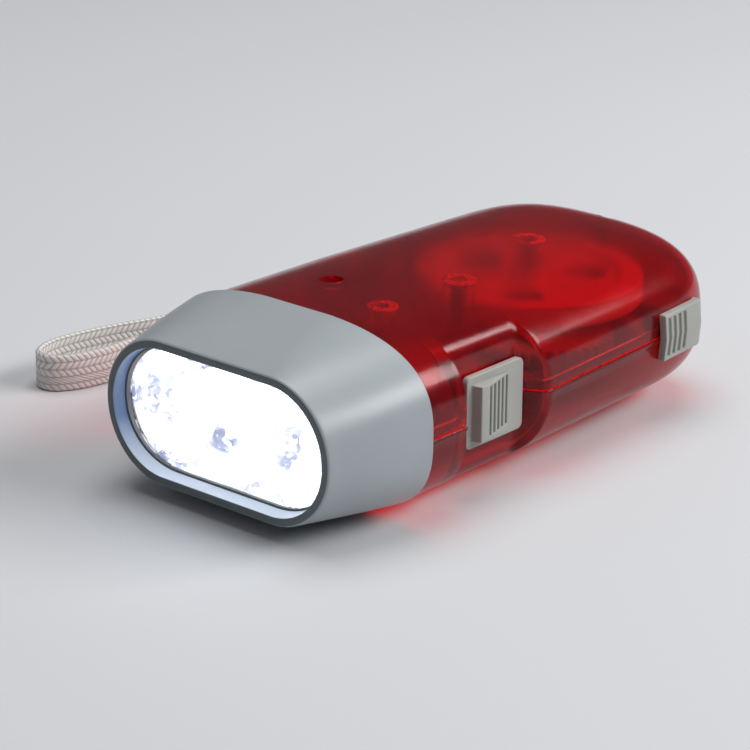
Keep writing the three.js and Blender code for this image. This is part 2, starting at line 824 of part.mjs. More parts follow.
// The iron core: two pole arms beside the magnet and the limb that carries the coil.
function statorCore() {
  const inner = magnet.radius + stator.gap;
  const outer = inner + stator.arm;
  const [bottom, top] = [stator.bottom, stator.top];
  const limbFront = stator.limbY - stator.limb / 2;
  const limbRear = stator.limbY + stator.limb / 2;
  const bore = rod(flywheel, inner, bottom - overrun, top + overrun, knuckleSides);
  const ring = rod(flywheel, outer, bottom, top, knuckleSides).subtract(bore);
  const poleHalf = outer * Math.sin(poleHalfAngle);
  const poles = ring.intersect(box(flywheel.x - outer, flywheel.x + outer, flywheel.y - poleHalf,
    flywheel.y + poleHalf, bottom, top));
  const arms = [-1, 1].map((side) => {
    const [near, far] = [flywheel.x + side * inner, flywheel.x + side * outer];
    return box(Math.min(near, far), Math.max(near, far), flywheel.y, limbRear, bottom, top).subtract(bore);
  });
  const limbHalf = inner + overrun;
  const limb = box(flywheel.x - limbHalf, flywheel.x + limbHalf, limbFront, limbRear, bottom, top);
  return joined(poles, ...arms, limb);
}

const coilMidZ = (stator.bottom + stator.top) / 2;
const coilTube = Math.hypot(stator.limb, stator.top - stator.bottom) / 2 + seatGap + coil.wall;

function lyingRod(radius, left, right) {
  const shape = new THREE.CylinderGeometry(radius, radius, right - left, bobbinSides);
  shape.rotateZ(Math.PI / 2);
  shape.translate((left + right) / 2, stator.limbY, coilMidZ);
  return solid(shape);
}

function coilBobbin() {
  const half = { y: stator.limb / 2 + seatGap, z: (stator.top - stator.bottom) / 2 + seatGap };
  const made = joined(
    lyingRod(coilTube, coil.left, coil.right),
    lyingRod(coil.flange, coil.left, coil.left + coil.flangeThick),
    lyingRod(coil.flange, coil.right - coil.flangeThick, coil.right),
  );
  return made.subtract(box(coil.left - overrun, coil.right + overrun, stator.limbY - half.y,
    stator.limbY + half.y, coilMidZ - half.z, coilMidZ + half.z));
}

// A round wire wound along a helix: one closed tube, whose rings stand square to the line.
function woundTube(line, sides, wire) {
  const rings = line.map((point, k) => {
    const before = line[Math.max(k - 1, 0)];
    const after = line[Math.min(k + 1, line.length - 1)];
    const along = new THREE.Vector3().subVectors(after.point, before.point).normalize();
    const out = point.out.clone().addScaledVector(along, -along.dot(point.out)).normalize();
    const aside = new THREE.Vector3().crossVectors(along, out);
    return Array.from({ length: sides }, (_, s) => {
      const angle = (-2 * Math.PI * s) / sides;
      return point.point.clone().addScaledVector(out, (Math.cos(angle) * wire) / 2)
        .addScaledVector(aside, (Math.sin(angle) * wire) / 2);
    });
  });
  return lofted(rings);
}

function leastGap(line, perTurn, wire) {
  let least = Infinity;
  for (let i = 0; i < line.length; i++) {
    for (let j = i + Math.ceil(perTurn / 2); j < line.length; j++) {
      least = Math.min(least, line[i].point.distanceTo(line[j].point) - wire);
    }
  }
  return least;
}

function coilWinding() {
  const radius = coilTube + seatGap + coil.wire / 2;
  const start = (coil.left + coil.right - coilTurns * coil.pitch) / 2;
  const line = [];
  for (let k = 0; k <= coilTurns * coilSteps; k++) {
    const angle = (2 * Math.PI * k) / coilSteps;
    const out = new THREE.Vector3(0, Math.cos(angle), Math.sin(angle));
    const point = new THREE.Vector3(start + (coil.pitch * k) / coilSteps, stator.limbY, coilMidZ)
      .addScaledVector(out, radius);
    line.push({ point, out });
  }
  const gap = leastGap(line, coilSteps, coil.wire);
  console.log(`coil winding: least gap to itself ${gap.toFixed(2)} mm`);
  return woundTube(line, coilSides, coil.wire);
}

// The lever's return spring: curls round the pivot pin and an arm along the lever.
function leverSpring() {
  const line = [];
  const centre = new THREE.Vector3(lever.pivot.x, lever.pivot.y, spring.bottom);
  for (let k = 0; k <= spring.curls * springSteps; k++) {
    const angle = (2 * Math.PI * k) / springSteps;
    const out = new THREE.Vector3(Math.cos(angle), Math.sin(angle), 0);
    const point = centre.clone().addScaledVector(out, spring.radius);
    point.z += (spring.pitch * k) / springSteps;
    line.push({ point, out });
  }
  const gap = leastGap(line, springSteps, spring.wire);
  console.log(`lever spring: least gap to itself ${gap.toFixed(2)} mm`);
  const end = line.at(-1);
  line.push({ point: end.point.clone().add(new THREE.Vector3(0, spring.arm, 0)), out: end.out });
  return woundTube(line, springSides, spring.wire);
}

// The lever: a piece of the housing's flank on a round knuckle, with two flanges, a gear sector and a hook.
function sectorPlate() {
  const pitch = (2 * Math.PI) / sector.teeth;
  const reachTeeth = Math.ceil(leverSwing / pitch) + sectorSpareTeeth.before;
  const points = [];
  for (let k = -reachTeeth; k <= sectorSpareTeeth.after; k++) {
    points.push(...toothPoints(sector, sectorPhase + k * pitch));
  }
  const inner = lever.knuckle / 2;
  const [start, end] = [points[0].angle(), points.at(-1).angle()];
  points.push(new THREE.Vector2(inner * Math.cos(end), inner * Math.sin(end)));
  points.push(new THREE.Vector2(inner * Math.cos(start), inner * Math.sin(start)));
  const plate = slab(new THREE.Shape(points), sector.bottom, sector.top);
  const rimInner = rootRadius(sector) - sector.rim;
  const hole = new THREE.Shape();
  const [from, to] = [sectorPhase - (reachTeeth - sectorSpareTeeth.solid) * pitch, sectorPhase];
  hole.absarc(0, 0, rimInner, from, to);
  hole.absarc(0, 0, lever.knuckle + sector.rim, to, from, true);
  const made = plate.subtract(slab(hole, sector.bottom - overrun, sector.top + overrun));
  return made.translate([lever.pivot.x, lever.pivot.y, 0]);
}

const leverRegion = (gap, edge) => joined(
  box(-housing.halfWidth - overrun, edge, lever.pivot.y, lever.end + gap, lever.bottom - gap,
    lever.top + gap),
  rod(lever.pivot, lever.knuckle + gap, lever.bottom - gap, lever.top + gap, knuckleSides),
);

function squeezeLever(outer, cavity) {
  const thick = lever.flangeThick;
  const hollow = box(-housing.halfWidth, 0, lever.pivot.y, lever.end + overrun, lever.bottom + thick,
    lever.top - thick).intersect(cavity);
  const skin = outer.intersect(leverRegion(0, lever.windowEdge - lever.gap));
  const flanges = housingForm(housing.wall + seatGap).intersect(leverRegion(0, lever.flangeEdge));
  const body = joined(skin, flanges).subtract(hollow);
  const knuckle = rod(lever.pivot, lever.knuckle, lever.bottom, lever.top, knuckleSides).intersect(outer);
  const wallX = -leftHalfWidthAt(hook.front, housing.wall) - housing.wall / 2;
  const finger = box(wallX, hook.reach, hook.front, hook.front + hook.thick, hook.bottom, hook.top);
  const barb = box(hook.reach - hook.barbThick, hook.reach, hook.front,
    hook.front + hook.thick + hook.barbLength, hook.bottom, hook.top);
  const springTop = spring.bottom + spring.pitch * spring.curls + spring.wire;
  const pocket = joined(
    rod(lever.pivot, spring.pocket, spring.bottom - spring.wire, springTop),
    box(lever.pivot.x, lever.pivot.x + lever.knuckle + overrun, lever.pivot.y - spring.pocket,
      lever.pivot.y + lever.knuckle + overrun, spring.bottom - spring.wire, springTop),
  );
  const made = joined(body, knuckle, sectorPlate(), finger, barb).subtract(pocket);
  return bored(made, lever.pivot, pin.radius, runGap, lever.bottom, lever.top);
}

// Bosses, posts and the other inside features of the shells
function lowerBosses() {
  return [
    { place: lever.pivot, radius: bossRadius, top: lever.bottom - seatGap },
    { place: clutchPlace, radius: bossRadius, top: clutch.bottom - seatGap },
    { place: idlerPlace, radius: bossRadius - seatGap, top: idlerPinion.bottom - seatGap },
    { place: flywheel, radius: bossRadius, top: magnet.bottom - seatGap },
  ].map(({ place, radius, top }) => rod(place, radius, 0, top));
}

function lowerPinHoles() {
  return [
    rod(lever.pivot, pin.radius + runGap, pin.bottom - seatGap, midZ),
    rod(clutchPlace, axle.radius + runGap, axle.bottom - seatGap, midZ),
    rod(idlerPlace, axle.radius + runGap, axle.bottom - seatGap, midZ),
    rod(flywheel, shaft.radius + runGap, shaft.bottom - seatGap, midZ),
  ];
}

function upperBosses() {
  return [
    { place: lever.pivot, bottom: lever.top + seatGap },
    { place: clutchPlace, bottom: drive.hubTop + seatGap },
    { place: flywheel, bottom: flywheel.hubTop + seatGap },
  ].map(({ place, bottom }) => rod(place, bossRadius, bottom, housingTop));
}

function upperPinHoles() {
  return [
    rod(lever.pivot, pin.radius + runGap, midZ, pin.top + seatGap),
    rod(clutchPlace, axle.radius + runGap, midZ, shaft.top + seatGap),
    rod(flywheel, shaft.radius + runGap, midZ, shaft.top + seatGap),
  ];
}

function screwSeat(place) {
  return undersideAt(place) + screw.headDepth;
}

function lowerPosts() {
  return allScrewPlaces.map((place) => rod(place, screw.postRadius, 0, midZ));
}

function lowerPostBores() {
  return allScrewPlaces.flatMap((place) => [
    rod(place, screw.shankRadius + seatGap, 0, midZ + overrun),
    rod(place, screw.headRadius + seatGap, -overrun, screwSeat(place)),
  ]);
}

function upperPosts() {
  return allScrewPlaces.map((place) => rod(place, screw.topPostRadius, midZ, housingTop));
}

function upperPostBores() {
  return allScrewPlaces.map((place) => rod(place, screw.shankRadius + seatGap, midZ - overrun,
    screwSeat(place) + screw.length + seatGap));
}

function topMarks() {
  return allScrewPlaces.map((place) => {
    const top = topAt(place);
    return rod(place, screw.markRadius, top - screw.markDepth, top + overrun);
  });
}

function caseScrew(place) {
  const seat = screwSeat(place) - seatGap;
  return turned(place, [
    [0, seat - screw.headThick], [screw.headRadius, seat - screw.headThick], [screw.headRadius, seat],
    [screw.shankRadius, seat], [screw.shankRadius, seat + screw.length], [0, seat + screw.length],
  ], smallSides);
}

function cellCradle() {
  const outer = cell.radius + seatGap + cell.wall;
  return cut(
    rod(cell, outer, 0, cell.cradleTop, cupSides),
    rod(cell, cell.radius + seatGap, cell.bottom - seatGap, cell.cradleTop + overrun, cupSides),
    rod(cell, cell.radius - cell.ledge, housing.wall, cell.bottom, cupSides),
  );
}

function statorPads() {
  const outer = magnet.radius + stator.gap + stator.arm / 2;
  return [-1, 1].map((side) => {
    const x = flywheel.x + side * outer;
    const half = stator.padSize / 2;
    return box(x - half, x + half, stator.limbY - half, stator.limbY + half, 0, stator.bottom - seatGap);
  });
}

function strapBlock(wall) {
  return box(strapHole.left - wall, strapHole.right + wall, strapHole.front - wall, housing.length,
    strapHole.bottom - wall, strapHole.top + wall);
}

function strapPinRod(gap) {
  const half = strapHole.wall - seatGap / 2;
  return rod(strapPin, strapPin.radius + gap, strapHole.bottom - half - gap, strapHole.top + half + gap,
    smallSides);
}

function sliderSlot() {
  const half = { y: slider.stemWidth / 2 + seatGap, z: slider.stemHeight / 2 + seatGap };
  return box(contact.right, housing.halfWidth, slider.stemAt - half.y - slider.travel,
    slider.stemAt + half.y, midZ - half.z, midZ + half.z);
}

function lockSlot() {
  return box(lock.stemReach - overrun, housing.halfWidth + overrun, lock.stemFront - seatGap,
    lock.stemRear + lock.travel + seatGap, lock.stemBottom - seatGap, lock.stemTop + seatGap);
}

function neckRing() {
  const inset = head.wall + seatGap;
  const rear = housing.front + housing.wall + overrun;
  const stations = [neck.front, head.back];
  const lastRing = (drawnIn, y) => headRing(head.back, drawnIn).map((p) => p.setY(y));
  const outer = lofted([
    ...stations.map((y) => headRing(y, inset)),
    lastRing(inset, housing.front + housing.wall / 2),
  ]);
  const boreInset = inset + neck.wall;
  const bore = lofted([
    headRing(neck.front - overrun, boreInset),
    headRing(head.back, boreInset),
    lastRing(boreInset, rear),
  ]);
  return { outer, bore };
}

function housingShells(outer, cavity) {
  const { outer: neckOuter, bore } = neckRing();
  const wall = housing.wall;
  const walls = joined(outer, neckOuter).subtract(cavity).subtract(bore);
  const far = housing.length + overrun;
  const half = seam / 2;
  const above = box(-far, far, -far, far, midZ + half, far);
  const below = box(-far, far, -far, far, -far, midZ - half);
  const lipTop = midZ + half + lip.height;
  const room = box(-far, far, housing.front + wall, far, -far, lipTop + seatGap);
  const lipWalls = housingForm(lip.inset).subtract(cavity).intersect(
    box(-far, far, housing.front + wall + overrun, far, midZ - half - wall, lipTop),
  );
  const cuts = [
    leverRegion(lever.gap, lever.windowEdge), sliderSlot(), lockSlot(), strapBlock(0), strapPinRod(runGap),
  ];
  const inside = (solids) => joined(...solids).intersect(outer);
  const block = strapBlock(strapHole.wall);
  const stands = inside([...lowerBosses(), ...lowerPosts(), cellCradle(), ...statorPads(), block]);
  const rimLip = lipWalls.subtract(strapBlock(strapHole.wall + seatGap));
  const lower = joined(joined(walls, stands).intersect(below), rimLip);
  const lowerShell = cut(lower, ...lowerPinHoles(), ...lowerPostBores(), ...cuts);
  const upper = joined(walls.subtract(housingForm(lip.inset - seatGap).intersect(room)),
    inside([...upperBosses(), ...upperPosts(), block]));
  const holes = [...upperPinHoles(), ...upperPostBores(), ...topMarks()];
  const upperShell = cut(upper.intersect(above), ...holes, ...cuts);
  return { lowerShell, upperShell };
}

// The switch slider: a plate in the recess with a wedge grip and a stem through the wall.
function switchSlider() {
  const base = recess.halfWidth + seatGap;
  const plateOutline = new THREE.Shape();
  const [c, f, r, b, t] = [slider.corner, slider.front, slider.rear, slider.bottom, slider.top];
  plateOutline.absarc(r - c, t - c, c, 0, Math.PI / 2);
  plateOutline.absarc(f + c, t - c, c, Math.PI / 2, Math.PI);
  plateOutline.absarc(f + c, b + c, c, Math.PI, (3 * Math.PI) / 2);
  plateOutline.absarc(r - c, b + c, c, -Math.PI / 2, 0);
  const settings = { depth: slider.thick, bevelEnabled: false, curveSegments: cornerSteps };
  const plateShape = new THREE.ExtrudeGeometry(plateOutline, settings);
  plateShape.rotateX(Math.PI / 2);
  plateShape.rotateZ(Math.PI / 2);
  plateShape.translate(base, 0, 0);
  const faceX = base + slider.thick;
  const wedge = new THREE.Shape([
    new THREE.Vector2(base, slider.gripFront),
    new THREE.Vector2(faceX + slider.gripHeight, slider.gripTop - slider.gripHeight),
    new THREE.Vector2(faceX + slider.gripHeight, slider.gripTop),
    new THREE.Vector2(faceX, slider.gripRear),
    new THREE.Vector2(base, slider.gripRear),
  ]);
  const grip = slab(wedge, slider.bottom + slider.gripInset, slider.top - slider.gripInset);
  const grooves = [];
  for (let k = 0; k < sliderGrooves; k++) {
    const y = slider.gripTop + slider.groovePitch * k + slider.groove / 2;
    const slope = slider.gripHeight / (slider.gripRear - slider.gripTop);
    const surface = faceX + slider.gripHeight - slope * (y - slider.gripTop);
    const end = slider.gripInset + slider.grooveEnd;
    grooves.push(box(surface - slider.grooveDepth, surface + overrun, y, y + slider.groove,
      slider.bottom + end, slider.top - end));
  }
  const stem = box(slider.stemReach, base + slider.thick / 2, slider.stemAt - slider.stemWidth / 2,
    slider.stemAt + slider.stemWidth / 2, midZ - slider.stemHeight / 2, midZ + slider.stemHeight / 2);
  return cut(joined(solid(plateShape), grip, stem), ...grooves);
}

function switchBody() {
  const made = box(contact.left, contact.right, contact.front, contact.rear, contact.bottom,
    contact.top);
  const half = { y: slider.stemWidth / 2 + seatGap, z: slider.stemHeight / 2 + seatGap };
  return made.subtract(box(slider.stemReach - seatGap, contact.right + overrun,
    slider.stemAt - half.y - slider.travel, slider.stemAt + half.y, midZ - half.z, midZ + half.z));
}

// The lock slider: a curved plate on the tail's corner with ribs and a stem.
function lockSlider() {
  const plate = housingForm(-seatGap - lock.thick).subtract(housingForm(-seatGap)).intersect(
    box(0, 2 * housing.halfWidth, lock.front, lock.rear, lock.bottom, lock.top),
  );
  const grooves = [];
  const grooveFloor = housingForm(lock.grooveDepth - lock.thick - seatGap);
  for (let k = 0; k < lockGrooves; k++) {
    const y = lock.front + lock.groovePitch * (k + 1 / 2);
    grooves.push(box(0, housing.halfWidth + overrun, y, y + lock.groove,
      lock.bottom + lock.thick / 2, lock.top - lock.thick / 2).subtract(grooveFloor));
  }
  const stemX = halfWidthAt(lock.stemRear, 0) + seatGap + lock.thick / 2;
  const stem = box(lock.stemReach, stemX, lock.stemFront, lock.stemRear, lock.stemBottom,
    lock.stemTop);
  return cut(plate, ...grooves).add(stem);
}

function latchBar() {
  return joined(
    box(latch.legLeft, latch.legRight, latch.front, latch.barRear, latch.bottom, latch.top),
    box(latch.toothLeft, latch.legRight, latch.barFront, latch.barRear, latch.bottom, latch.top),
    box(latch.toothLeft, latch.toothLeft + latch.toothThick, latch.toothFront, latch.barRear,
      latch.bottom, latch.top),
  );
}

// The wrist strap: flat webbing that stands on its edge, along one curve through the chosen points.
function wristStrap() {
  const route = strapLine.map(([x, y, z]) => new THREE.Vector3(x, housing.length + y, z));
  const curve = new THREE.CatmullRomCurve3(route, false, 'centripetal');
  const rings = [];
  for (let k = 0; k <= strapSteps; k++) {
    const point = curve.getPoint(k / strapSteps);
    const along = curve.getTangent(k / strapSteps).setZ(0).normalize();
    const aside = new THREE.Vector3(-along.y, along.x, 0).multiplyScalar(strap.thick / 2);
    const up = new THREE.Vector3(0, 0, strap.width / 2);
    rings.push([
      point.clone().sub(aside).sub(up), point.clone().sub(aside).add(up),
      point.clone().add(aside).add(up), point.clone().add(aside).sub(up),
    ]);
  }
  return lofted(rings);
}

const outerForm = housingForm(0);
const innerForm = housingForm(housing.wall, housing.front + housing.wall);
const { lowerShell, upperShell } = housingShells(outerForm, innerForm);
addPiece('lower_shell', lowerShell, look.shell);
addPiece('upper_shell', upperShell, look.shell);
addPiece('head_bezel', headBezel(), look.grey);
addPiece('lens', stadiumPlate(lensInset, lens.front, lensRear), look.clear);
const mirrorBlock = stadiumPlate(lensInset, reflectorFront, reflectorRear);
addPiece('reflector', cut(mirrorBlock, ...reflectorCups()), look.chrome);
const lamps = { led_left: -reflector.cupSpacing, led_centre: 0, led_right: reflector.cupSpacing };
for (const [name, x] of Object.entries(lamps)) addPiece(name, ledLamp(x), look.led);
addPiece('led_board', ledBoard(Object.values(lamps)), look.board);
addPiece('squeeze_lever', squeezeLever(outerForm, innerForm), look.shell);
addPiece('lever_pin', rod(lever.pivot, pin.radius, pin.bottom, pin.top), look.steel);
addPiece('lever_spring', leverSpring(), look.steel);
addPiece('clutch_pinion', clutchPinion(), look.nylon);
addPiece('drive_gear', driveGear(), look.nylon);
addPiece('drive_axle', rod(clutchPlace, axle.radius, axle.bottom, shaft.top), look.steel);
addPiece('idler_gear', idlerWheel(), look.nylon);
addPiece('idler_axle', rod(idlerPlace, axle.radius, axle.bottom, idlerGear.top + seatGap), look.steel);
addPiece('flywheel', flywheelDisc(), look.nylon);
const pinionBlank = gearSolid(wheelPinion, flywheel, 0);
addPiece('flywheel_pinion', bored(pinionBlank, flywheel, shaft.radius, seatGap / 2, wheelPinion.bottom,
  wheelPinion.top), look.brass);
addPiece('flywheel_shaft', rod(flywheel, shaft.radius, shaft.bottom, shaft.top), look.steel);
addPiece('rotor_magnet', rotorMagnet(), look.magnet);
addPiece('stator_core', statorCore(), look.steel);
addPiece('coil_bobbin', coilBobbin(), look.black);
addPiece('coil_winding', coilWinding(), look.copper);
cellNames.forEach((name, k) => {
  const bottom = cell.bottom + k * (cell.height + seatGap);
  addPiece(name, rod(cell, cell.radius, bottom, bottom + cell.height, cupSides), look.steel);
});
addPiece('switch_body', switchBody(), look.black);
addPiece('switch_slider', switchSlider(), look.slide);
addPiece('lock_slider', lockSlider(), look.slide);
addPiece('latch_bar', latchBar(), look.steel);
for (const [name, place] of Object.entries(screwPlaces)) addPiece(name, caseScrew(place), look.steel);
addPiece('strap_pin', strapPinRod(0), look.steel);
addPiece('wrist_strap', wristStrap(), look.webbing);

export default flashlight;
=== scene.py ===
import bmesh
import bpy
import math
import numpy as np
from mathutils import Matrix, Vector


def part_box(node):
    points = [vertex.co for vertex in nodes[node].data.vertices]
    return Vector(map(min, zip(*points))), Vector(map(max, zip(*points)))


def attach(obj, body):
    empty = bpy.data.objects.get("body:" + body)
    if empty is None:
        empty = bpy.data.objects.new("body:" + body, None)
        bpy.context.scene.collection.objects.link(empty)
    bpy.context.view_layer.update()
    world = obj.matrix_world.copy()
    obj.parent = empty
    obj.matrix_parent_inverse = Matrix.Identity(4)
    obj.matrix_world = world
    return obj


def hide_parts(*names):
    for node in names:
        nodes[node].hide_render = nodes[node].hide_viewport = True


# A hand crank flashlight round the part's own solids. The shells, head, lens, reflector, lamps and strap get
# skins of their own; the lever, slides and mechanism are the solids themselves, dressed in materials.
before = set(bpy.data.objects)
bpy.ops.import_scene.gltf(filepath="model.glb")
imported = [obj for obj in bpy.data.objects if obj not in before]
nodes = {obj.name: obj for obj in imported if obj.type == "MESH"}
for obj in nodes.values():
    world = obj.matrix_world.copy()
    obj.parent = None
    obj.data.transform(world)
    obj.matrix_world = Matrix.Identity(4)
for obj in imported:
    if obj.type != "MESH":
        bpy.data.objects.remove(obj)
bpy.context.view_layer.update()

MM = 0.001

# The camera at the photograph's angle: places in metres, lens and sensor in millimetres
AZIMUTH, ELEVATION, ROLL = math.radians(40.846), math.radians(20.533), math.radians(0.418)
DISTANCE = 0.519962
AIM = Vector((-0.001371, -0.012374, 0.0139))
LENS, SENSOR = 144, 36
CLIP_NEAR, CLIP_FAR = 0.01, 50

# The housing's form, in millimetres from the front rim
LENGTH, FRONT, TAIL_START, TAPER_START = 108, 20.9, 81.4, 51
HALF_WIDTH, REAR_HALF_WIDTH = 29.1, 26.5
LOWER, UPPER, REAR_UPPER = 16, 16, 14.5
MID_Z, SEAM, WALL = 16, 0.2, 1.8
SECTION_POWER, TAIL_POWER = 2.8, 4.4
RECESS = {"front_start": 29.65, "front_end": 30.25, "rear_start": 48.4, "rear_end": 51, "half_width": 24.6}
RECESS_CORNER, RECESS_END_CORNER, RECESS_FRONT_CORNER, LEAST_CORNER = 2.0, 2.8, 0.3, 0.5
RECESS_EDGE, CORNER_STEPS = 4.0, 10
LIP_INSET, LIP_HEIGHT, LIP_GAP = 1.0, 1.2, 0.3
EDGE_ROUND, EDGE_STEPS = 0.22, 5
# The bead along the lower shell's parting edge: how far it stands out, and its foot as (height, inset)
BEAD, BEAD_TOP = 0.14, 0.9
BEAD_LINE = [(0.55, -BEAD), (0.75, -BEAD * 0.5), (0.85, 0.0)]

# Stations along the housing's rear, and steps round its section (the first steps lie in the parting edge)
REAR_STATIONS = 18
TAIL_ANGLES = [*np.linspace(6, 84, 22), 86, 87.5, 88.6, 89.3, 89.7, 89.9, 90]
ARC_STEPS, OUTER_FROM, INNER_FROM = 56, 3, 6
SMOOTH_ANGLE = 35

# The head's form: half widths, half heights and middles of its front and back
HEAD = {"front_w": 25, "front_h": 12.8, "front_z": 15.8, "back_w": 29.7, "back_h": 16.3, "back_z": 16.3,
        "back": 20.6, "wall": 1.7}
BULGE = 0.06
LAST_ANGLE = math.radians(82)
HEAD_ROUND, HEAD_ROUND_STEPS, HEAD_STATIONS = 0.5, 8, 14
# Its profile from the rim inwards, as (distance from the front, inset from the outside)
RIM_FACE = [(0.0, 0.95), (0.0, 1.34), (0.04, 1.44), (0.14, 1.5)]
MOUTH_WALL = [(0.6, 1.6), (1.3, 1.78), (2.0, 1.98), (2.5, 2.13), (2.8, 2.24)]
LENS_SEAT = [(2.88, 2.28), (2.92, 2.5), (2.95, 2.6), (3.05, 2.6), (3.1, 2.5), (3.1, 1.75), (3.2, 1.7)]
HEAD_INSIDE = [(y, HEAD["wall"]) for y in (6.0, 10.0, 14.0, 18.0, HEAD["back"])] + [(HEAD["back"], 0.5)]

# The lens, as (distance from the front, inset from the rim), from its back round its edge to its front
LENS_PROFILE = [
    (4.9, 12.79), (4.9, 2.6), (4.75, 2.15), (4.5, 2.02), (3.75, 2.02), (3.5, 2.15), (3.42, 2.5), (3.42, 3.1),
    (3.38, 4.0), (3.3, 6.5), (3.24, 9.5), (3.2, 12.79),
]

# The reflector's three cups, the holes for the lamps and the unevenness of its facets
CUP_RADIUS, CUP_DEPTH, CUP_SPACING, REFLECTOR_FRONT = 10.7, 9.3, 14.4, 5.25
CUPS = (-CUP_SPACING, 0, CUP_SPACING)
CUP_INSETS = np.concatenate([[2.05], np.linspace(2.25, 12.7, 30)])
REFLECTOR_WALL, LAMP_HOLE = 0.8, 3.0
FACET_SEED, FACET_LIFT, FACETS_ROUND = 7, 0.07, 400
CUP_STEPS = (40, 34)

# A 5 mm lamp: whole length, body radius, and its flange as (radius, distance before the base)
LAMP_LENGTH, LAMP_RADIUS, DOME_STEPS = 9.1, 2.5, 12
LAMP_FLANGE = ((2.9, 0.0), (2.95, 0.1), (2.95, 0.9), (2.85, 1.0), (2.55, 1.05))

# Places of the lever's pin, the shafts, the screws and the front boss; the marks are the round dents on top
PIVOT = (-22, 57)
CLUTCH, IDLER, WHEEL = (7.7295, 52.9804), (13.1532, 68.8808), (2, 79.5)
SCREWS = ((-3.2, 32.5), (0.5, 103))
MARKS = ((-6.6, 36), (2.4, 103))
FRONT_RIB = (7.6, 33)

# Openings in the shells, as left, right, front, rear, bottom and top
LOCK_SLOT = (18, HALF_WIDTH + 2, 89.7, 96.5, 14.2, 17.8)
SWITCH_SLOT = (20, HALF_WIDTH, 34.6, 41, 13.9, 18.1)
STRAP_SLOT = (-15, -5, 100.6, LENGTH + 2, 11, 19.6)
LEVER = {"bottom": 6.6, "top": 25.4, "end": 99.2, "edge": -19.6, "knuckle": 7, "gap": 0.35}
MARK_RADIUS, MARK_DEPTH = 2.15, 0.8
SEAT_RADIUS, SEAT_DEPTH = 2.3, 6

# The bosses round the shafts: place, radius, height of the foot, height of the tip, radius of the bore
BOSSES = (
    (PIVOT, 2.5, 5.4, 6.3, 1.7), (CLUTCH, 2.6, 1.9, 6.7, 1.45), (IDLER, 2.3, 1.9, 12.2, 1.45),
    (WHEEL, 2.6, 1.9, 5.9, 1.7), (PIVOT, 2.5, 26.3, 25.7, 1.7), (CLUTCH, 2.6, 29.6, 16.2, 1.45),
    (WHEEL, 2.6, 29.2, 24.6, 1.7), (FRONT_RIB, 2.2, 29.9, 27, 1.2),
)
# The lower and upper post of each screw: radius, height of the foot, height of the tip
SCREW_POSTS = (((3.1, 7.0, 15.8), (2.2, 29.4, 16.2)), ((3.1, 8.5, 15.8), (2.2, 26.6, 16.2)))
SCREW_BORE = 1.3
BOSS_ROUND, BOSS_FLARE = 0.3, 0.5
# The looks of the bosses' piece: a boss's foot, with a painted highlight; a boss, made pale by painted light; a
# screw's post
FOOT_PAINTED_HIGHLIGHT, BOSS_PAINTED_PALE, POST_LOOK = 0, 1, 2

# The middle of the strap's width along its loop, as in the part's source
STRAP_LINE = [
    (-10.25, 101.45, 15.3), (-11.52, 102.08, 15.3), (-12.15, 103.6, 15.3), (-12.2, 107, 15.2),
    (-13.6, 110.4, 14.2), (-19, 113.4, 11.2), (-27, 112.4, 7.2), (-36, 106.4, 4.4), (-43.6, 96.4, 3.6),
    (-49.5, 83, 3.55), (-54.2, 68, 3.55), (-58, 53, 3.55), (-59.9, 41.2, 3.55), (-60.1, 33, 3.55),
    (-61.8, 26.8, 3.55), (-64.6, 23.6, 3.55), (-68, 24.2, 3.55), (-70, 28.6, 3.55), (-69.7, 34.6, 3.55),
    (-67.9, 42.4, 3.55), (-64.6, 52, 3.55), (-61.2, 67, 3.55), (-56.8, 83, 3.55), (-50, 98, 3.6),
    (-40, 110.6, 4.4), (-28.4, 118, 7.2), (-17.4, 119, 11.2), (-9.8, 114.4, 14.2), (-7.9, 108.4, 15.2),
    (-7.85, 103.6, 15.3), (-8.48, 102.08, 15.3), (-9.75, 101.45, 15.3),
]
STRAP_WIDTH, STRAP_THICK, STRAP_CORNER, STRAP_LENGTH = 7, 1.2, 0.5, 0.274
STRAP_STEPS = 9
# How far the map of the strap's inner side lies from that of its outer side
INNER_SIDE = 20.0

# The soft lamps: name, place, the point that they face, width, height, power
LAMPS = (
    ("top", (-0.12, 0.1, 0.95), (0, 0, 0.01), 0.7, 0.7, 5.4),
    ("key", (0.58, 0.395, 0.525), (0, 0, 0.015), 0.74, 0.3, 6.9),
    ("fill", (-0.5, -0.5, 0.55), (0, 0, 0.015), 0.5, 0.5, 0.3),
)
FLOOR_REACH, WORLD_COLOUR, WORLD_STRENGTH = 8, (0.93, 0.95, 1.0, 1), 0.1


def spot(x, y, z):
    """A place in metres in the row frame, from millimetres with y from the front rim."""
    return Vector((x * MM, (y - LENGTH / 2) * MM, z * MM))


# Camera

def make_camera():
    a, e = AZIMUTH, ELEVATION
    back = Vector((math.sin(a) * math.cos(e), -math.cos(a) * math.cos(e), math.sin(e)))
    right = Vector((math.cos(a), math.sin(a), 0))
    up = back.cross(right)
    turned_right = right * math.cos(ROLL) + up * math.sin(ROLL)
    turned_up = up * math.cos(ROLL) - right * math.sin(ROLL)
    data = bpy.data.cameras.new("camera")
    data.lens, data.sensor_width = LENS, SENSOR
    data.clip_start, data.clip_end = CLIP_NEAR, CLIP_FAR
    camera = link("camera", data)
    camera.rotation_mode = "QUATERNION"
    axes = np.array([turned_right, turned_up, back]).T
    camera.rotation_quaternion = Matrix(axes.tolist()).to_quaternion()
    camera.location = AIM + back * DISTANCE
    bpy.context.scene.camera = camera


# Meshes

def link(name, data):
    obj = bpy.data.objects.new(name, data)
    bpy.context.scene.collection.objects.link(obj)
    return obj


def new_mesh(name, points, faces):
    mesh = bpy.data.meshes.new(name)
    mesh.from_pydata([tuple(p) for p in points], [], faces)
    return mesh


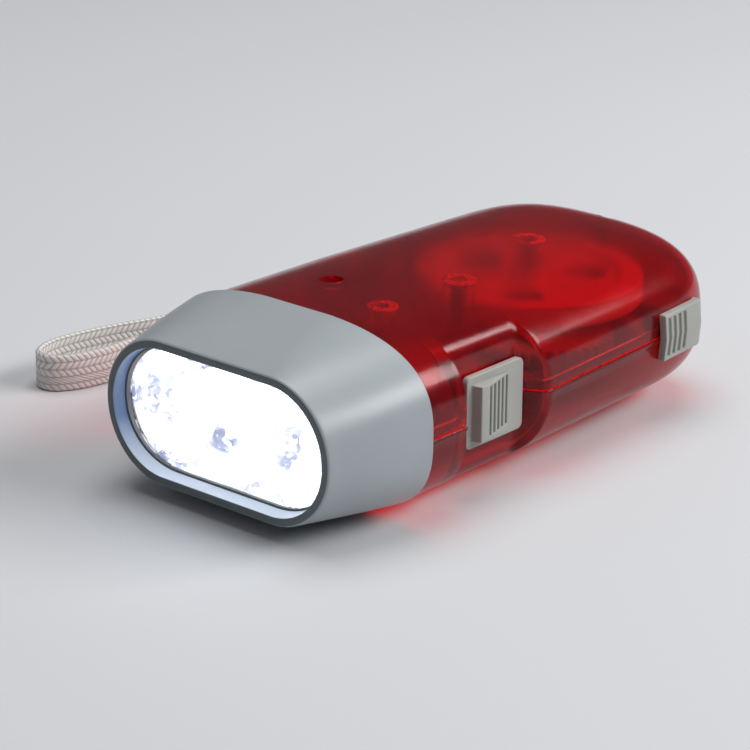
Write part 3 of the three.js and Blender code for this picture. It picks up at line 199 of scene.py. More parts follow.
def face_outwards(mesh):
    shape = bmesh.new()
    shape.from_mesh(mesh)
    bmesh.ops.recalc_face_normals(shape, faces=shape.faces)
    shape.to_mesh(mesh)
    shape.free()


def new_object(name, points, faces, look, body, smooth_angle=SMOOTH_ANGLE, more_looks=(), look_of=None):
    """A piece with its look; look_of gives the number of the look of each face, where it has several."""
    mesh = new_mesh(name, points, faces)
    if look_of:
        mesh.polygons.foreach_set("material_index", look_of)
    shape = bmesh.new()
    shape.from_mesh(mesh)
    bmesh.ops.remove_doubles(shape, verts=shape.verts, dist=1e-6)
    bmesh.ops.dissolve_degenerate(shape, edges=shape.edges, dist=1e-7)
    bmesh.ops.recalc_face_normals(shape, faces=shape.faces)
    shape.to_mesh(mesh)
    shape.free()
    obj = link(name, mesh)
    for one in (look, *more_looks):
        mesh.materials.append(one)
    shade(mesh, smooth_angle)
    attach(obj, body)
    return obj


def shade(mesh, angle):
    mesh.shade_smooth()
    mesh.set_sharp_from_angle(angle=math.radians(angle))


def loft(rings, closed=True):
    """Points and faces of rings skinned one after another."""
    count = len(rings[0])
    points = [p for ring in rings for p in ring]
    faces = []
    last = count if closed else count - 1
    for r in range(len(rings) - 1):
        for k in range(last):
            n = (k + 1) % count
            faces.append((r * count + k, r * count + n, (r + 1) * count + n, (r + 1) * count + k))
    return points, faces


def lathe(centre, axis, profile, sides=40):
    """A closed turned form; profile is (radius, along) in mm, from end to end."""
    a = Vector(axis).normalized()
    u = a.orthogonal().normalized()
    v = a.cross(u)
    rings = []
    for radius, along in profile:
        ring = []
        for k in range(sides):
            t = 2 * math.pi * k / sides
            ring.append(centre + (a * along + (u * math.cos(t) + v * math.sin(t)) * radius) * MM)
        rings.append(ring)
    return loft(rings)


def round_corner(points, radii, steps):
    """A line of (along, height) points with each inner corner rounded."""
    made = [points[0]]
    for before, here, after, radius in zip(points, points[1:], points[2:], radii):
        p, q, r = (Vector(x) for x in (before, here, after))
        a, b = (p - q).normalized(), (r - q).normalized()
        turn = math.pi - a.angle(b)
        reach = radius * math.tan(turn / 2)
        centre = q + (a + b).normalized() * (radius / math.cos(turn / 2))
        start, end = q + a * reach, q + b * reach
        for k in range(steps + 1):
            arm = (start - centre).lerp(end - centre, k / steps)
            made.append(tuple(centre + arm.normalized() * radius))
    made.append(points[-1])
    return made


def tail_share(y, inset):
    """How much of the full section is left at a place in the tail."""
    into = max(y - TAIL_START, 0) / (LENGTH - TAIL_START - inset)
    return (1 - min(into, 1) ** TAIL_POWER) ** (1 / TAIL_POWER)


def left_flank(y):
    """The half width of the -X side, which has no recess."""
    return HALF_WIDTH + (REAR_HALF_WIDTH - HALF_WIDTH) * max(y - TAPER_START, 0) / (LENGTH - TAPER_START)


def between(start, end, count):
    """Points set evenly between two others, without those two."""
    return [tuple(a + (b - a) * k / (count + 1) for a, b in zip(start, end)) for k in range(1, count + 1)]


def flank_line(inset):
    """The half width of the +X side along it, with the thumb recess, before the inset is taken off."""
    slope = math.atan2(HALF_WIDTH - RECESS["half_width"], RECESS["rear_end"] - RECESS["rear_start"])
    shift = inset * math.tan(slope / 2)
    corners = [
        (FRONT, HALF_WIDTH),
        (RECESS["front_start"] - inset, HALF_WIDTH),
        (RECESS["front_end"] - inset, RECESS["half_width"]),
        (RECESS["rear_start"] + shift, RECESS["half_width"]),
        (RECESS["rear_end"] + shift, HALF_WIDTH),
        (LENGTH, REAR_HALF_WIDTH),
    ]
    radii = [RECESS_FRONT_CORNER, RECESS_FRONT_CORNER, RECESS_CORNER + inset,
             max(RECESS_END_CORNER - inset, LEAST_CORNER)]
    line = round_corner(corners, radii, CORNER_STEPS)
    per = CORNER_STEPS + 1
    outer_front, inner_front, inner_rear, outer_rear = (line[1 + per * k:1 + per * (k + 1)] for k in range(4))
    made = [line[0], (FRONT + 0.12, HALF_WIDTH), (FRONT + 0.4, HALF_WIDTH)]
    made += between(made[-1], outer_front[0], 5) + outer_front + between(outer_front[-1], inner_front[0], 6)
    made += inner_front + between(inner_front[-1], inner_rear[0], 8) + inner_rear
    made += between(inner_rear[-1], outer_rear[0], 6) + outer_rear
    (start_y, start_w), (last_y, last_w) = made[-1], line[-1]
    reach = LENGTH - TAIL_START - inset
    stations = list(np.linspace(start_y, TAIL_START, REAR_STATIONS)[1:])
    for angle in TAIL_ANGLES:
        stations.append(TAIL_START + reach * math.sin(math.radians(angle)) ** (2 / TAIL_POWER))
    made += [(y, start_w + (last_w - start_w) * (y - start_y) / (last_y - start_y)) for y in stations]
    return made


def sizes_along(inset, upper):
    """(y, +X half width, -X half width, height) at each station of the housing, drawn in by an inset."""
    made = []
    for y, flank in flank_line(inset):
        tail = tail_share(y, inset)
        full = UPPER + (REAR_UPPER - UPPER) * (y - FRONT) / (LENGTH - FRONT) if upper else LOWER
        made.append((y, (flank - inset) * tail, (left_flank(y) - inset) * tail, (full - inset) * tail))
    return made


def notched(x, right_wide, left_wide):
    """A place on the full section, cut off where the recess is, with the cut's edge rounded."""
    soft = min(RECESS_EDGE, left_wide - right_wide)
    near = max(soft - abs(x - right_wide), 0)
    return min(x, right_wide) - (near * near / soft / 4 if soft > 1e-6 else 0)


def side_x(wide, high, z):
    """The half width of the section at a height over its middle."""
    if z >= high or high <= 0:
        return 0.0
    return wide * (1 - (z / high) ** SECTION_POWER) ** (1 / SECTION_POWER)


def section_entries(upper):
    """The section round one shell, and how many of its entries lie outside. Each entry is a kind, a value, an
    inset and a side; its value is a height over the parting edge ("h") or an angle along the arc ("a")."""
    quarter = math.radians(90)
    rounding = [(EDGE_ROUND * (1 - math.cos(t)), EDGE_ROUND * (1 - math.sin(t)))
                for t in (math.pi / 2 * k / EDGE_STEPS for k in range(EDGE_STEPS + 1))]
    if not upper:
        rounding = [(h, d - BEAD) for h, d in rounding] + BEAD_LINE
    outer = [("h", h, d) for h, d in rounding]
    outer += [("a", quarter * k / ARC_STEPS, 0.0) for k in range(OUTER_FROM, ARC_STEPS + 1)]
    if upper:
        height, inset = LIP_HEIGHT + LIP_GAP, LIP_INSET - LIP_GAP
    else:
        height, inset = -SEAM - LIP_HEIGHT, LIP_INSET
    inner = [("h", 0.0, inset), ("h", height, inset), ("h", height, WALL)]
    inner += [("a", quarter * k / ARC_STEPS, WALL) for k in range(INNER_FROM, ARC_STEPS + 1)]
    entries = [(*e, 1) for e in outer] + [(*e, -1) for e in reversed(outer[:-1])]
    entries += [(*e, -1) for e in inner] + [(*e, 1) for e in reversed(inner[:-1])]
    return entries, len(outer) * 2 - 1


def half_shell(upper):
    """The closed form of one shell, with the parting edge rounded and its lip or the room for it."""
    sign = 1 if upper else -1
    half = SEAM / 2
    entries, outer = section_entries(upper)
    insets = sorted({inset for _, _, inset, _ in entries})
    along = {d: sizes_along(d, upper) for d in insets}
    power = 2 / SECTION_POWER
    # The arcs stay above the parting edge and the lip, so that the skin never crosses itself in the tail
    if upper:
        lowest = {0.0: half + EDGE_ROUND, WALL: half + LIP_HEIGHT + LIP_GAP}
    else:
        lowest = {0.0: half + BEAD_TOP, WALL: half}
    rings = []
    for i in range(len(along[insets[0]])):
        ring = []
        for kind, value, inset, side in entries:
            y, right_wide, wide, high = along[inset][i]
            if kind == "h":
                z = half + value
                x = side_x(wide, high, max(z, 0))
            else:
                z = high * math.sin(value) ** power
                x = wide * math.cos(value) ** power if value < math.pi / 2 - 1e-6 else 0.0
                if z < lowest[inset]:
                    z = lowest[inset]
                    x = min(x, side_x(wide, high, z))
            if side > 0:
                x = max(notched(x, right_wide, wide), 0.0)
            ring.append(spot(side * x, y, MID_Z + sign * z))
        rings.append(ring)
    points, faces = loft(rings)
    count = len(rings[0])
    # The parting faces take the paler red look: a painted highlight that makes the parting line shine
    lip = {outer - 1, count - 1}
    look_of = [1 if k in lip else 0 for _ in rings[1:] for k in range(count)] + [0]
    faces.append(tuple(range(count)))
    return points, faces, look_of


def apply_modifiers(obj):
    graph = bpy.context.evaluated_depsgraph_get()
    graph.update()
    mesh = bpy.data.meshes.new_from_object(obj.evaluated_get(graph))
    old = obj.data
    obj.modifiers.clear()
    obj.data = mesh
    bpy.data.meshes.remove(old)


def carve(obj, cutters):
    """Takes the cutters out of the object, one after another."""
    for points, faces in cutters:
        mesh = new_mesh("cutter", points, faces)
        face_outwards(mesh)
        cutter = link("cutter", mesh)
        step = obj.modifiers.new("cut", "BOOLEAN")
        step.operation, step.object, step.solver = "DIFFERENCE", cutter, "EXACT"
        apply_modifiers(obj)
        bpy.data.objects.remove(cutter)
        bpy.data.meshes.remove(mesh)
    shade(obj.data, SMOOTH_ANGLE)


def block(left, right, front, rear, bottom, top):
    """A box as a cutter."""
    p = [spot(x, y, z) for x in (left, right) for y in (front, rear) for z in (bottom, top)]
    f = [(0, 1, 3, 2), (4, 6, 7, 5), (0, 4, 5, 1), (2, 3, 7, 6), (0, 2, 6, 4), (1, 5, 7, 3)]
    return p, f


def peg(x, y, radius, bottom, top, sides=40):
    """An upright cylinder as a cutter."""
    turns = [2 * math.pi * k / sides for k in range(sides)]
    rings = [[spot(x + radius * math.cos(t), y + radius * math.sin(t), z) for t in turns] for z in (bottom, top)]
    points, faces = loft(rings)
    faces += [tuple(range(sides)), tuple(range(sides, 2 * sides))]
    return points, faces


# Materials

def links_to(tree, source, target):
    tree.links.new(source, target)


def node(tree, kind, **values):
    """A shader node; in_NAME sets an input socket, any other name sets a property."""
    made = tree.nodes.new("ShaderNode" + kind)
    for key, value in values.items():
        if key.startswith("in_"):
            made.inputs[key[3:].replace("_", " ")].default_value = value
        else:
            setattr(made, key, value)
    return made


def noise(tree, coords, scale, detail=3.0):
    made = node(tree, "TexNoise", in_Scale=scale, in_Detail=detail, in_Roughness=0.55)
    links_to(tree, coords, made.inputs["Vector"])
    return made.outputs["Fac"]


def ramp(tree, factor, low, high, low_at=0.3, high_at=0.7):
    made = node(tree, "ValToRGB")
    made.color_ramp.elements[0].position, made.color_ramp.elements[0].color = low_at, (*low, 1)
    made.color_ramp.elements[1].position, made.color_ramp.elements[1].color = high_at, (*high, 1)
    links_to(tree, factor, made.inputs["Fac"])
    return made.outputs["Color"]


def scaled(colour, share):
    return tuple(min(c * share, 1.0) for c in colour)


def span(tree, factor, low, high, low_at=0.3, high_at=0.7):
    """The factor stretched from between low_at and high_at to between low and high."""
    made = node(tree, "MapRange", in_From_Min=low_at, in_From_Max=high_at, in_To_Min=low, in_To_Max=high)
    links_to(tree, factor, made.inputs["Value"])
    return made.outputs["Result"]


def calc(tree, operation, a, b=None, c=None):
    """A sum with sockets or numbers."""
    made = node(tree, "Math", operation=operation)
    for slot, value in enumerate((a, b, c)):
        if isinstance(value, (int, float)):
            made.inputs[slot].default_value = value
        elif value is not None:
            links_to(tree, value, made.inputs[slot])
    return made.outputs["Value"]


def relief(tree, height, strength, distance, under=None):
    """The normal of a bump, over another one where that is given."""
    made = node(tree, "Bump", in_Strength=strength, in_Distance=distance)
    links_to(tree, height, made.inputs["Height"])
    if under:
        links_to(tree, under, made.inputs["Normal"])
    return made.outputs["Normal"]


def axes_of(tree, vector):
    split = node(tree, "SeparateXYZ")
    links_to(tree, vector, split.inputs[0])
    return split.outputs


def blank(name):
    """A new material, its node tree and its shader."""
    made = bpy.data.materials.new(name)
    made.use_nodes = True
    return made, made.node_tree, made.node_tree.nodes["Principled BSDF"]


def surface(name, colour, roughness=0.4, metallic=0.0, vary=0.08, broad=70, grain=2600, grain_depth=0.00002,
            grain_share=0.25, rough_vary=0.08, stretch=None, **sockets):
    """A finished material: broad tone variation, uneven gloss and a fine moulded or machined grain."""
    made, tree, shader = blank(name)
    coords = node(tree, "TexCoord").outputs["Object"]
    if stretch:
        mapping = node(tree, "Mapping")
        mapping.inputs["Scale"].default_value = stretch
        links_to(tree, coords, mapping.inputs["Vector"])
        coords = mapping.outputs["Vector"]
    tone = ramp(tree, noise(tree, coords, broad), scaled(colour, 1 - vary), scaled(colour, 1 + vary))
    links_to(tree, tone, shader.inputs["Base Color"])
    gloss = span(tree, noise(tree, coords, broad * 5), max(roughness - rough_vary, 0.02),
                 min(roughness + rough_vary, 1))
    links_to(tree, gloss, shader.inputs["Roughness"])
    fine = relief(tree, noise(tree, coords, grain, 2), grain_share, grain_depth)
    links_to(tree, fine, shader.inputs["Normal"])
    shader.inputs["Metallic"].default_value = metallic
    for key, value in sockets.items():
        shader.inputs[key.replace("_", " ")].default_value = value
    return made


def painted_glow_reflector():
    """Vacuum-metallised plastic with a crinkled facet pattern and a painted glow for the lamps' light on it:
    brighter and dimmer facets.
    """
    made = surface("mirror_facets_painted_glow", (0.9, 0.92, 0.95), roughness=0.1, metallic=1.0, vary=0.04, rough_vary=0.04)
    tree = made.node_tree
    shader = tree.nodes["Principled BSDF"]
    coords = node(tree, "TexCoord").outputs["Object"]
    warp = node(tree, "TexNoise", in_Scale=260.0, in_Detail=2.0)
    links_to(tree, coords, warp.inputs["Vector"])
    shifted = node(tree, "VectorMath", operation="MULTIPLY_ADD")
    links_to(tree, warp.outputs["Color"], shifted.inputs[0])
    shifted.inputs[1].default_value = (0.004, 0.004, 0.004)
    links_to(tree, coords, shifted.inputs[2])
    facets = node(tree, "TexVoronoi", feature="F1", in_Scale=560.0, in_Randomness=1.0)
    links_to(tree, shifted.outputs["Vector"], facets.inputs["Vector"])
    split = node(tree, "SeparateColor")
    links_to(tree, facets.outputs["Color"], split.inputs["Color"])
    # The painted glow is dim on some facets, which gather in patches, more of them on the -X side
    patches = calc(tree, "MULTIPLY_ADD", axes_of(tree, coords)["X"], 3.0, noise(tree, coords, 150, 2))
    share = calc(tree, "MULTIPLY_ADD", split.outputs["Red"], 0.55, span(tree, patches, -0.12, 0.5, 0.35, 0.6))
    glow = node(tree, "ValToRGB")
    dim, bright = glow.color_ramp.elements
    dim.position, dim.color = 0.0, (0.24, 0.26, 0.46, 1)
    bright.position, bright.color = 0.36, (0.97, 0.98, 1.0, 1)
    glow.color_ramp.elements.new(0.16).color = (0.6, 0.63, 0.83, 1)
    links_to(tree, share, glow.inputs["Fac"])
    links_to(tree, glow.outputs["Color"], shader.inputs["Emission Color"])
    shader.inputs["Emission Strength"].default_value = 1.0
    fine = next(n for n in tree.nodes if n.type == "BUMP").outputs["Normal"]
    links_to(tree, relief(tree, facets.outputs["Distance"], 0.8, 0.0004, fine), shader.inputs["Normal"])
    return made


def painted_glow_mouth():
    """The wall round the lens, with a painted glow for the lamps' light: bluish, and brightest low down where it
    faces them.
    """
    made = surface("mouth_painted_glow", (0.17, 0.2, 0.25), roughness=0.35, vary=0.04, grain=4200, grain_share=0.3)
    tree = made.node_tree
    shader = tree.nodes["Principled BSDF"]
    height = axes_of(tree, node(tree, "TexCoord").outputs["Object"])["Z"]
    up = span(tree, height, 0.0, 1.0, 0.003, 0.0145)
    glow = ramp(tree, up, (0.5, 0.57, 0.68), (0.045, 0.085, 0.19), 0.08, 0.8)
    links_to(tree, glow, shader.inputs["Emission Color"])
    shader.inputs["Emission Strength"].default_value = 1.0
    return made


ROW_WIDTH, STITCH_LENGTH, STITCH_SLANT, FUZZ = 1.4, 1.15, 0.9, 0.35


def woven(name):
    """Flat woven webbing: rows of slanted stitches along its length, from the strap's own map in millimetres."""
    made, tree, shader = blank(name)
    place = axes_of(tree, node(tree, "TexCoord").outputs["UV"])

    def do(operation, a, b=None, c=None):
        return calc(tree, operation, a, b, c)

    rows = do("MULTIPLY_ADD", place["X"], 1 / ROW_WIDTH, 0.5)
    row_share = do("FRACT", rows)
    row_height = do("SINE", do("MULTIPLY", row_share, math.pi))
    flip = do("MULTIPLY_ADD", do("MODULO", do("FLOOR", rows), 2.0), 2.0, -1.0)
    slant = do("MULTIPLY", do("SUBTRACT", row_share, 0.5), flip)
    stitch = do("ADD", do("MULTIPLY", place["Y"], 1 / STITCH_LENGTH), do("MULTIPLY", slant, STITCH_SLANT))
    stitch_height = do("ABSOLUTE", do("SINE", do("MULTIPLY", stitch, math.pi)))
    height = do("MULTIPLY", do("POWER", row_height, 0.5), do("POWER", stitch_height, 0.6))
    fuzz = noise(tree, node(tree, "TexCoord").outputs["Object"], 6000, 3)
    height = do("ADD", height, do("MULTIPLY", fuzz, FUZZ))
    # Darker where the weave lies low: painted shade in its grooves, with random fuzz
    tone = ramp(tree, height, (0.33, 0.315, 0.3), (0.8, 0.785, 0.755), 0.12, 0.9)
    links_to(tree, tone, shader.inputs["Base Color"])
    links_to(tree, relief(tree, height, 0.8, 0.00025), shader.inputs["Normal"])
    shader.inputs["Roughness"].default_value = 0.85
    shader.inputs["Sheen Weight"].default_value = 0.3
    return made


def let_light_in(look, colour):
    """Lamps reach through a clear coloured wall, as they do through real plastic."""
    tree = look.node_tree
    out = next(n for n in tree.nodes if n.type == "OUTPUT_MATERIAL")
    through = node(tree, "BsdfTransparent", in_Color=(*colour, 1))
    mix = node(tree, "MixShader")
    links_to(tree, node(tree, "LightPath").outputs["Is Shadow Ray"], mix.inputs[0])
    links_to(tree, tree.nodes["Principled BSDF"].outputs["BSDF"], mix.inputs[1])
    links_to(tree, through.outputs["BSDF"], mix.inputs[2])
    links_to(tree, mix.outputs["Shader"], out.inputs["Surface"])
    return look


RED_LIGHT = (0.84, 0.06, 0.07)
RED = let_light_in(surface("red_plastic", (0.5, 0.011, 0.022), roughness=0.17, vary=0.12, broad=45, grain=900,
                           grain_depth=0.00001, rough_vary=0.03, Transmission_Weight=0.9, IOR=1.33,
                           Specular_IOR_Level=0.8), RED_LIGHT)
# A paler, less clear copy of the red plastic: a painted highlight on the shells' parting faces and the bosses'
# feet
RED_PAINTED_HIGHLIGHT = let_light_in(surface("red_painted_highlight", (0.8, 0.05, 0.04), roughness=0.3, vary=0.1, broad=120, grain=900,
                                  Transmission_Weight=0.45, IOR=1.46), RED_LIGHT)
# A pale, nearly clear copy of the red plastic: painted light in place of the shade that thick red bosses show
RED_PAINTED_PALE = let_light_in(surface("red_boss_painted_pale", (0.97, 0.62, 0.6), roughness=0.3, vary=0.03, broad=120, grain=900,
                                 Transmission_Weight=1.0, IOR=1.12), (0.97, 0.8, 0.8))
BEZEL_GREY = surface("bezel_plastic", (0.35, 0.385, 0.405), roughness=0.33, vary=0.035, grain=4200,
                     grain_share=0.3, rough_vary=0.02)
# A darker grey for the head's rim and lens seat: painted shade
RIM_PAINTED_SHADE = surface("rim_painted_shade", (0.12, 0.145, 0.155), roughness=0.5, vary=0.05, grain=4200, grain_share=0.3)
MOUTH_PAINTED_GLOW = painted_glow_mouth()
SLIDE_GREY = surface("slide_plastic", (0.33, 0.335, 0.31), roughness=0.5, vary=0.07, grain=3800, grain_share=0.4)
CLEAR = let_light_in(surface("lens_plastic", (0.97, 0.985, 1.0), roughness=0.04, vary=0.01, rough_vary=0.02,
                             Transmission_Weight=1.0, IOR=1.46), (0.97, 0.98, 1.0))
NYLON = surface("gear_nylon", (0.42, 0.4, 0.37), roughness=0.45, vary=0.05)
WHEEL_PALE = surface("wheel_zinc", (0.88, 0.86, 0.84), roughness=0.42, vary=0.08, metallic=0.1)
STEEL = surface("turned_steel", (0.56, 0.57, 0.58), roughness=0.28, metallic=1.0, vary=0.06, stretch=(1, 1, 12))
IRON = surface("core_iron", (0.3, 0.3, 0.31), roughness=0.42, metallic=0.9, vary=0.15, stretch=(1, 1, 20))
MAGNET = surface("magnet_ferrite", (0.045, 0.045, 0.05), roughness=0.55, vary=0.2)
COPPER = surface("wire_copper", (0.78, 0.32, 0.13), roughness=0.25, metallic=1.0, vary=0.1)
BLACK = surface("black_plastic", (0.02, 0.02, 0.022), roughness=0.5, vary=0.15)
BOARD = surface("board_green", (0.03, 0.14, 0.06), roughness=0.5, vary=0.2, broad=220)
CELL = surface("cell_steel", (0.62, 0.62, 0.6), roughness=0.25, metallic=1.0, vary=0.06)
MIRROR_PAINTED_GLOW = painted_glow_reflector()
LAMP = surface("led_epoxy", (0.95, 0.96, 1.0), roughness=0.08, vary=0.02, Emission_Strength=1.2,
               Emission_Color=(0.93, 0.96, 1.0, 1.0))
WEBBING = woven("strap_webbing")


WELD_REACH, FLAT_ANGLE, BEVEL_ANGLE = 1e-6, math.radians(1.2), math.radians(28)


def dress(names, look, bevel):
    """Gives CAD nodes a look, rounds their edges a little and smooths what is meant to be round."""
    for name in names:
        obj = nodes[name]
        mesh = obj.data
        mesh.materials.clear()
        mesh.materials.append(look)
        if "custom_normal" in mesh.attributes:
            mesh.attributes.remove(mesh.attributes["custom_normal"])
        mesh.shade_smooth()
        weld = obj.modifiers.new("weld", "WELD")
        weld.merge_threshold = WELD_REACH
        flat = obj.modifiers.new("flat", "DECIMATE")
        flat.decimate_type, flat.angle_limit = "DISSOLVE", FLAT_ANGLE
        if bevel:
            edge = obj.modifiers.new("edge", "BEVEL")
            edge.width, edge.segments = bevel * MM, 2
            edge.limit_method, edge.angle_limit = "ANGLE", BEVEL_ANGLE
        smooth = obj.modifiers.new("normals", "WEIGHTED_NORMAL")
        smooth.keep_sharp = True


# Pieces

def catmull(points, steps):
    """Points along the centripetal curve through the given ones."""
    p = [np.array(x, float) for x in points]
    p = [2 * p[0] - p[1]] + p + [2 * p[-1] - p[-2]]
    made = []
    for i in range(1, len(p) - 2):
        t = [0.0]
        for a, b in zip(p[i - 1:i + 3], p[i:i + 3]):
            t.append(t[-1] + max(np.linalg.norm(b - a), 1e-6) ** 0.5)
        q = p[i - 1:i + 3]
        for k in range(steps):
            u = t[1] + (t[2] - t[1]) * k / steps
            a1 = q[0] * (t[1] - u) / (t[1] - t[0]) + q[1] * (u - t[0]) / (t[1] - t[0])
            a2 = q[1] * (t[2] - u) / (t[2] - t[1]) + q[2] * (u - t[1]) / (t[2] - t[1])
            a3 = q[2] * (t[3] - u) / (t[3] - t[2]) + q[3] * (u - t[2]) / (t[3] - t[2])
            b1 = a1 * (t[2] - u) / (t[2] - t[0]) + a2 * (u - t[0]) / (t[2] - t[0])
            b2 = a2 * (t[3] - u) / (t[3] - t[1]) + a3 * (u - t[1]) / (t[3] - t[1])
            made.append(b1 * (t[2] - u) / (t[2] - t[1]) + b2 * (u - t[1]) / (t[2] - t[1]))
    made.append(p[-2])
    return made


def make_strap():
    """The strap as one closed loop of webbing, standing on its edge, with a map of its own for the weave."""
    line = catmull(STRAP_LINE, STRAP_STEPS)
    half_w, half_t, r = STRAP_WIDTH / 2, STRAP_THICK / 2, STRAP_CORNER
    section = []
    for cx, cz, start in ((half_t - r, half_w - r, 0), (-half_t + r, half_w - r, 90),
                          (-half_t + r, -half_w + r, 180), (half_t - r, -half_w + r, 270)):
        for k in range(4):
            t = math.radians(start + 30 * k)
            section.append((cx + r * math.cos(t), cz + r * math.sin(t)))
    rings, along = [], [0.0]
    for i, p in enumerate(line):
        before, after = line[max(i - 1, 0)], line[min(i + 1, len(line) - 1)]
        way = after - before
        way[2] = 0
        way = way / np.linalg.norm(way)
        aside = np.array([-way[1], way[0], 0.0])
        if i:
            along.append(along[-1] + float(np.linalg.norm(p - line[i - 1])))
        rings.append([spot(*(p + aside * a + np.array([0, 0, b]))) for a, b in section])
    points, faces = loft(rings)
    count = len(section)
    faces += [tuple(range(count)), tuple(range(len(points) - count, len(points)))]
    mesh = new_mesh("strap_woven", points, faces)
    layer = mesh.uv_layers.new(name="weave")
    for loop in mesh.loops:
        ring, k = divmod(loop.vertex_index, count)
        layer.data[loop.index].uv = (section[k][1] + (0.0 if section[k][0] > 0 else INNER_SIDE), along[ring])
    for poly in mesh.polygons:
        us = [layer.data[i].uv[0] for i in poly.loop_indices]
        if max(us) - min(us) > INNER_SIDE / 2:
            for i in poly.loop_indices:
                if layer.data[i].uv[0] > INNER_SIDE / 2:
                    layer.data[i].uv[0] -= INNER_SIDE
    mesh.validate()
    obj = link("strap_woven", mesh)
    mesh.materials.append(WEBBING)
    shade(mesh, 60)
    face_outwards(mesh)
    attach(obj, "housing")
    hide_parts("wrist_strap")


def lever_window():
    gap = LEVER["gap"]
    bottom, top = LEVER["bottom"] - gap, LEVER["top"] + gap
    return [
        block(-HALF_WIDTH - 2, LEVER["edge"], PIVOT[1], LEVER["end"] + gap, bottom, top),
        peg(*PIVOT, LEVER["knuckle"] + gap, bottom, top),
    ]


def make_shells():
    """Both shells, with the lever's window, the slots, the marks on top and the screws' seats below."""
    common = lever_window() + [block(*LOCK_SLOT), block(*SWITCH_SLOT), block(*STRAP_SLOT)]
    points, faces, look_of = half_shell(True)
    upper = new_object("shell_upper_skin", points, faces, RED, "housing", more_looks=(RED_PAINTED_HIGHLIGHT,),
                       look_of=look_of)
    tops = []
    for x, y in MARKS:
        along = (y - FRONT) / (LENGTH - FRONT)
        high = (UPPER + (REAR_UPPER - UPPER) * along) * tail_share(y, 0)
        tops.append(peg(x, y, MARK_RADIUS, MID_Z + high - MARK_DEPTH, MID_Z + high + 2))
    carve(upper, common + tops)
    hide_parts("upper_shell")
    points, faces, look_of = half_shell(False)
    lower = new_object("shell_lower_skin", points, faces, RED, "housing", more_looks=(RED_PAINTED_HIGHLIGHT,),
                       look_of=look_of)
    seats = [peg(x, y, SEAT_RADIUS, -2, MID_Z - LOWER * tail_share(y, 0) + SEAT_DEPTH) for x, y in SCREWS]
    carve(lower, common + seats)
    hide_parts("lower_shell")


def make_bosses():
    """The posts and bosses that the shells carry inside, each flared at its foot."""
    points, faces, look_of = [], [], []

    def add(made, look, foot):
        """Adds a post: a boss has a painted highlight at its foot only and painted pale light above it, and a
        screw's post has the shell's own look.
        """
        for face in made[1]:
            middle = sum(made[0][i].z for i in face) / len(face) / MM
            look_of.append(FOOT_PAINTED_HIGHLIGHT if abs(middle - foot) < 0.8 and look == BOSS_PAINTED_PALE else look)
        start = len(points)
        points.extend(made[0])
        faces.extend(tuple(i + start for i in face) for face in made[1])

    def boss(place, radius, foot, tip, bore, look):
        sign = 1 if tip > foot else -1
        r = BOSS_ROUND
        flare = min(abs(tip - foot) * 0.3, BOSS_FLARE)
        profile = [
            (bore, foot), (radius + flare, foot), (radius + flare * 0.3, foot + sign * flare),
            (radius, foot + sign * flare * 2), (radius, tip - sign * r), (radius - r, tip), (bore + 0.1, tip),
            (bore, tip - sign * 0.1), (bore, foot),
        ]
        add(lathe(spot(*place, 0), (0, 0, 1), profile, 28), look, foot)

    for place, radius, foot, tip, bore in BOSSES:
        boss(place, radius, foot, tip, bore, BOSS_PAINTED_PALE)
    for place, posts in zip(SCREWS, SCREW_POSTS):
        for radius, foot, tip in posts:
            boss(place, radius, foot, tip, SCREW_BORE, POST_LOOK)
    made = new_object("shell_bosses", points, faces, RED_PAINTED_HIGHLIGHT, "housing", more_looks=(RED_PAINTED_PALE, RED),
                      look_of=look_of)


def stadium_ring(y, inset, steps=24, straight_steps=12):
    """A ring like the head's rim, drawn in by an inset."""
    straight = HEAD["front_w"] - HEAD["front_h"]
    radius = HEAD["front_h"] - inset
    ring = []
    for side, start in ((1, -90), (-1, 90)):
        for k in range(steps + 1):
            t = math.radians(start + 180 * k / steps)
            ring.append((side * straight + radius * math.cos(t), radius * math.sin(t)))
        for k in range(1, straight_steps):
            x = side * straight - side * 2 * straight * k / straight_steps
            ring.append((x, side * radius))
    return [spot(x, y, HEAD["front_z"] + z) for x, z in ring]


def head_ring(y, inset, steps=26, flat_steps=12):
    """A ring of the head, which swells from the rim's stadium to the housing's section."""
    along = y / HEAD["back"]
    share = along + BULGE * math.sin(along * math.pi)
    share = max(share, 0.0)
    straight = HEAD["front_w"] - HEAD["front_h"]
    centre = HEAD["front_z"] + (HEAD["back_z"] - HEAD["front_z"]) * share
    power = 2 / SECTION_POWER
    quarter = []
    for k in range(steps + 1):
        angle = LAST_ANGLE * k / steps
        sx, sz = math.cos(angle) ** power, (math.sin(angle) / math.sin(LAST_ANGLE)) ** power
        t = math.pi / 2 * k / steps
        fx, fz = straight + (HEAD["front_h"] - inset) * math.cos(t), (HEAD["front_h"] - inset) * math.sin(t)
        bx, bz = (HEAD["back_w"] - inset) * sx, (HEAD["back_h"] - inset) * sz
        quarter.append((fx + (bx - fx) * share, fz + (bz - fz) * share))
    end_x, end_z = quarter[-1]
    flat = [end_x * (1 - 2 * k / flat_steps) for k in range(1, flat_steps)]
    ring = quarter + [(x, end_z) for x in flat]
    ring += [(-x, z) for x, z in reversed(quarter)]
    ring += [(-x, -z) for x, z in quarter[1:]] + [(-x, -end_z) for x in flat]
    ring += [(x, -z) for x, z in reversed(quarter[1:])]
    return [spot(x, y, centre + z) for x, z in ring]


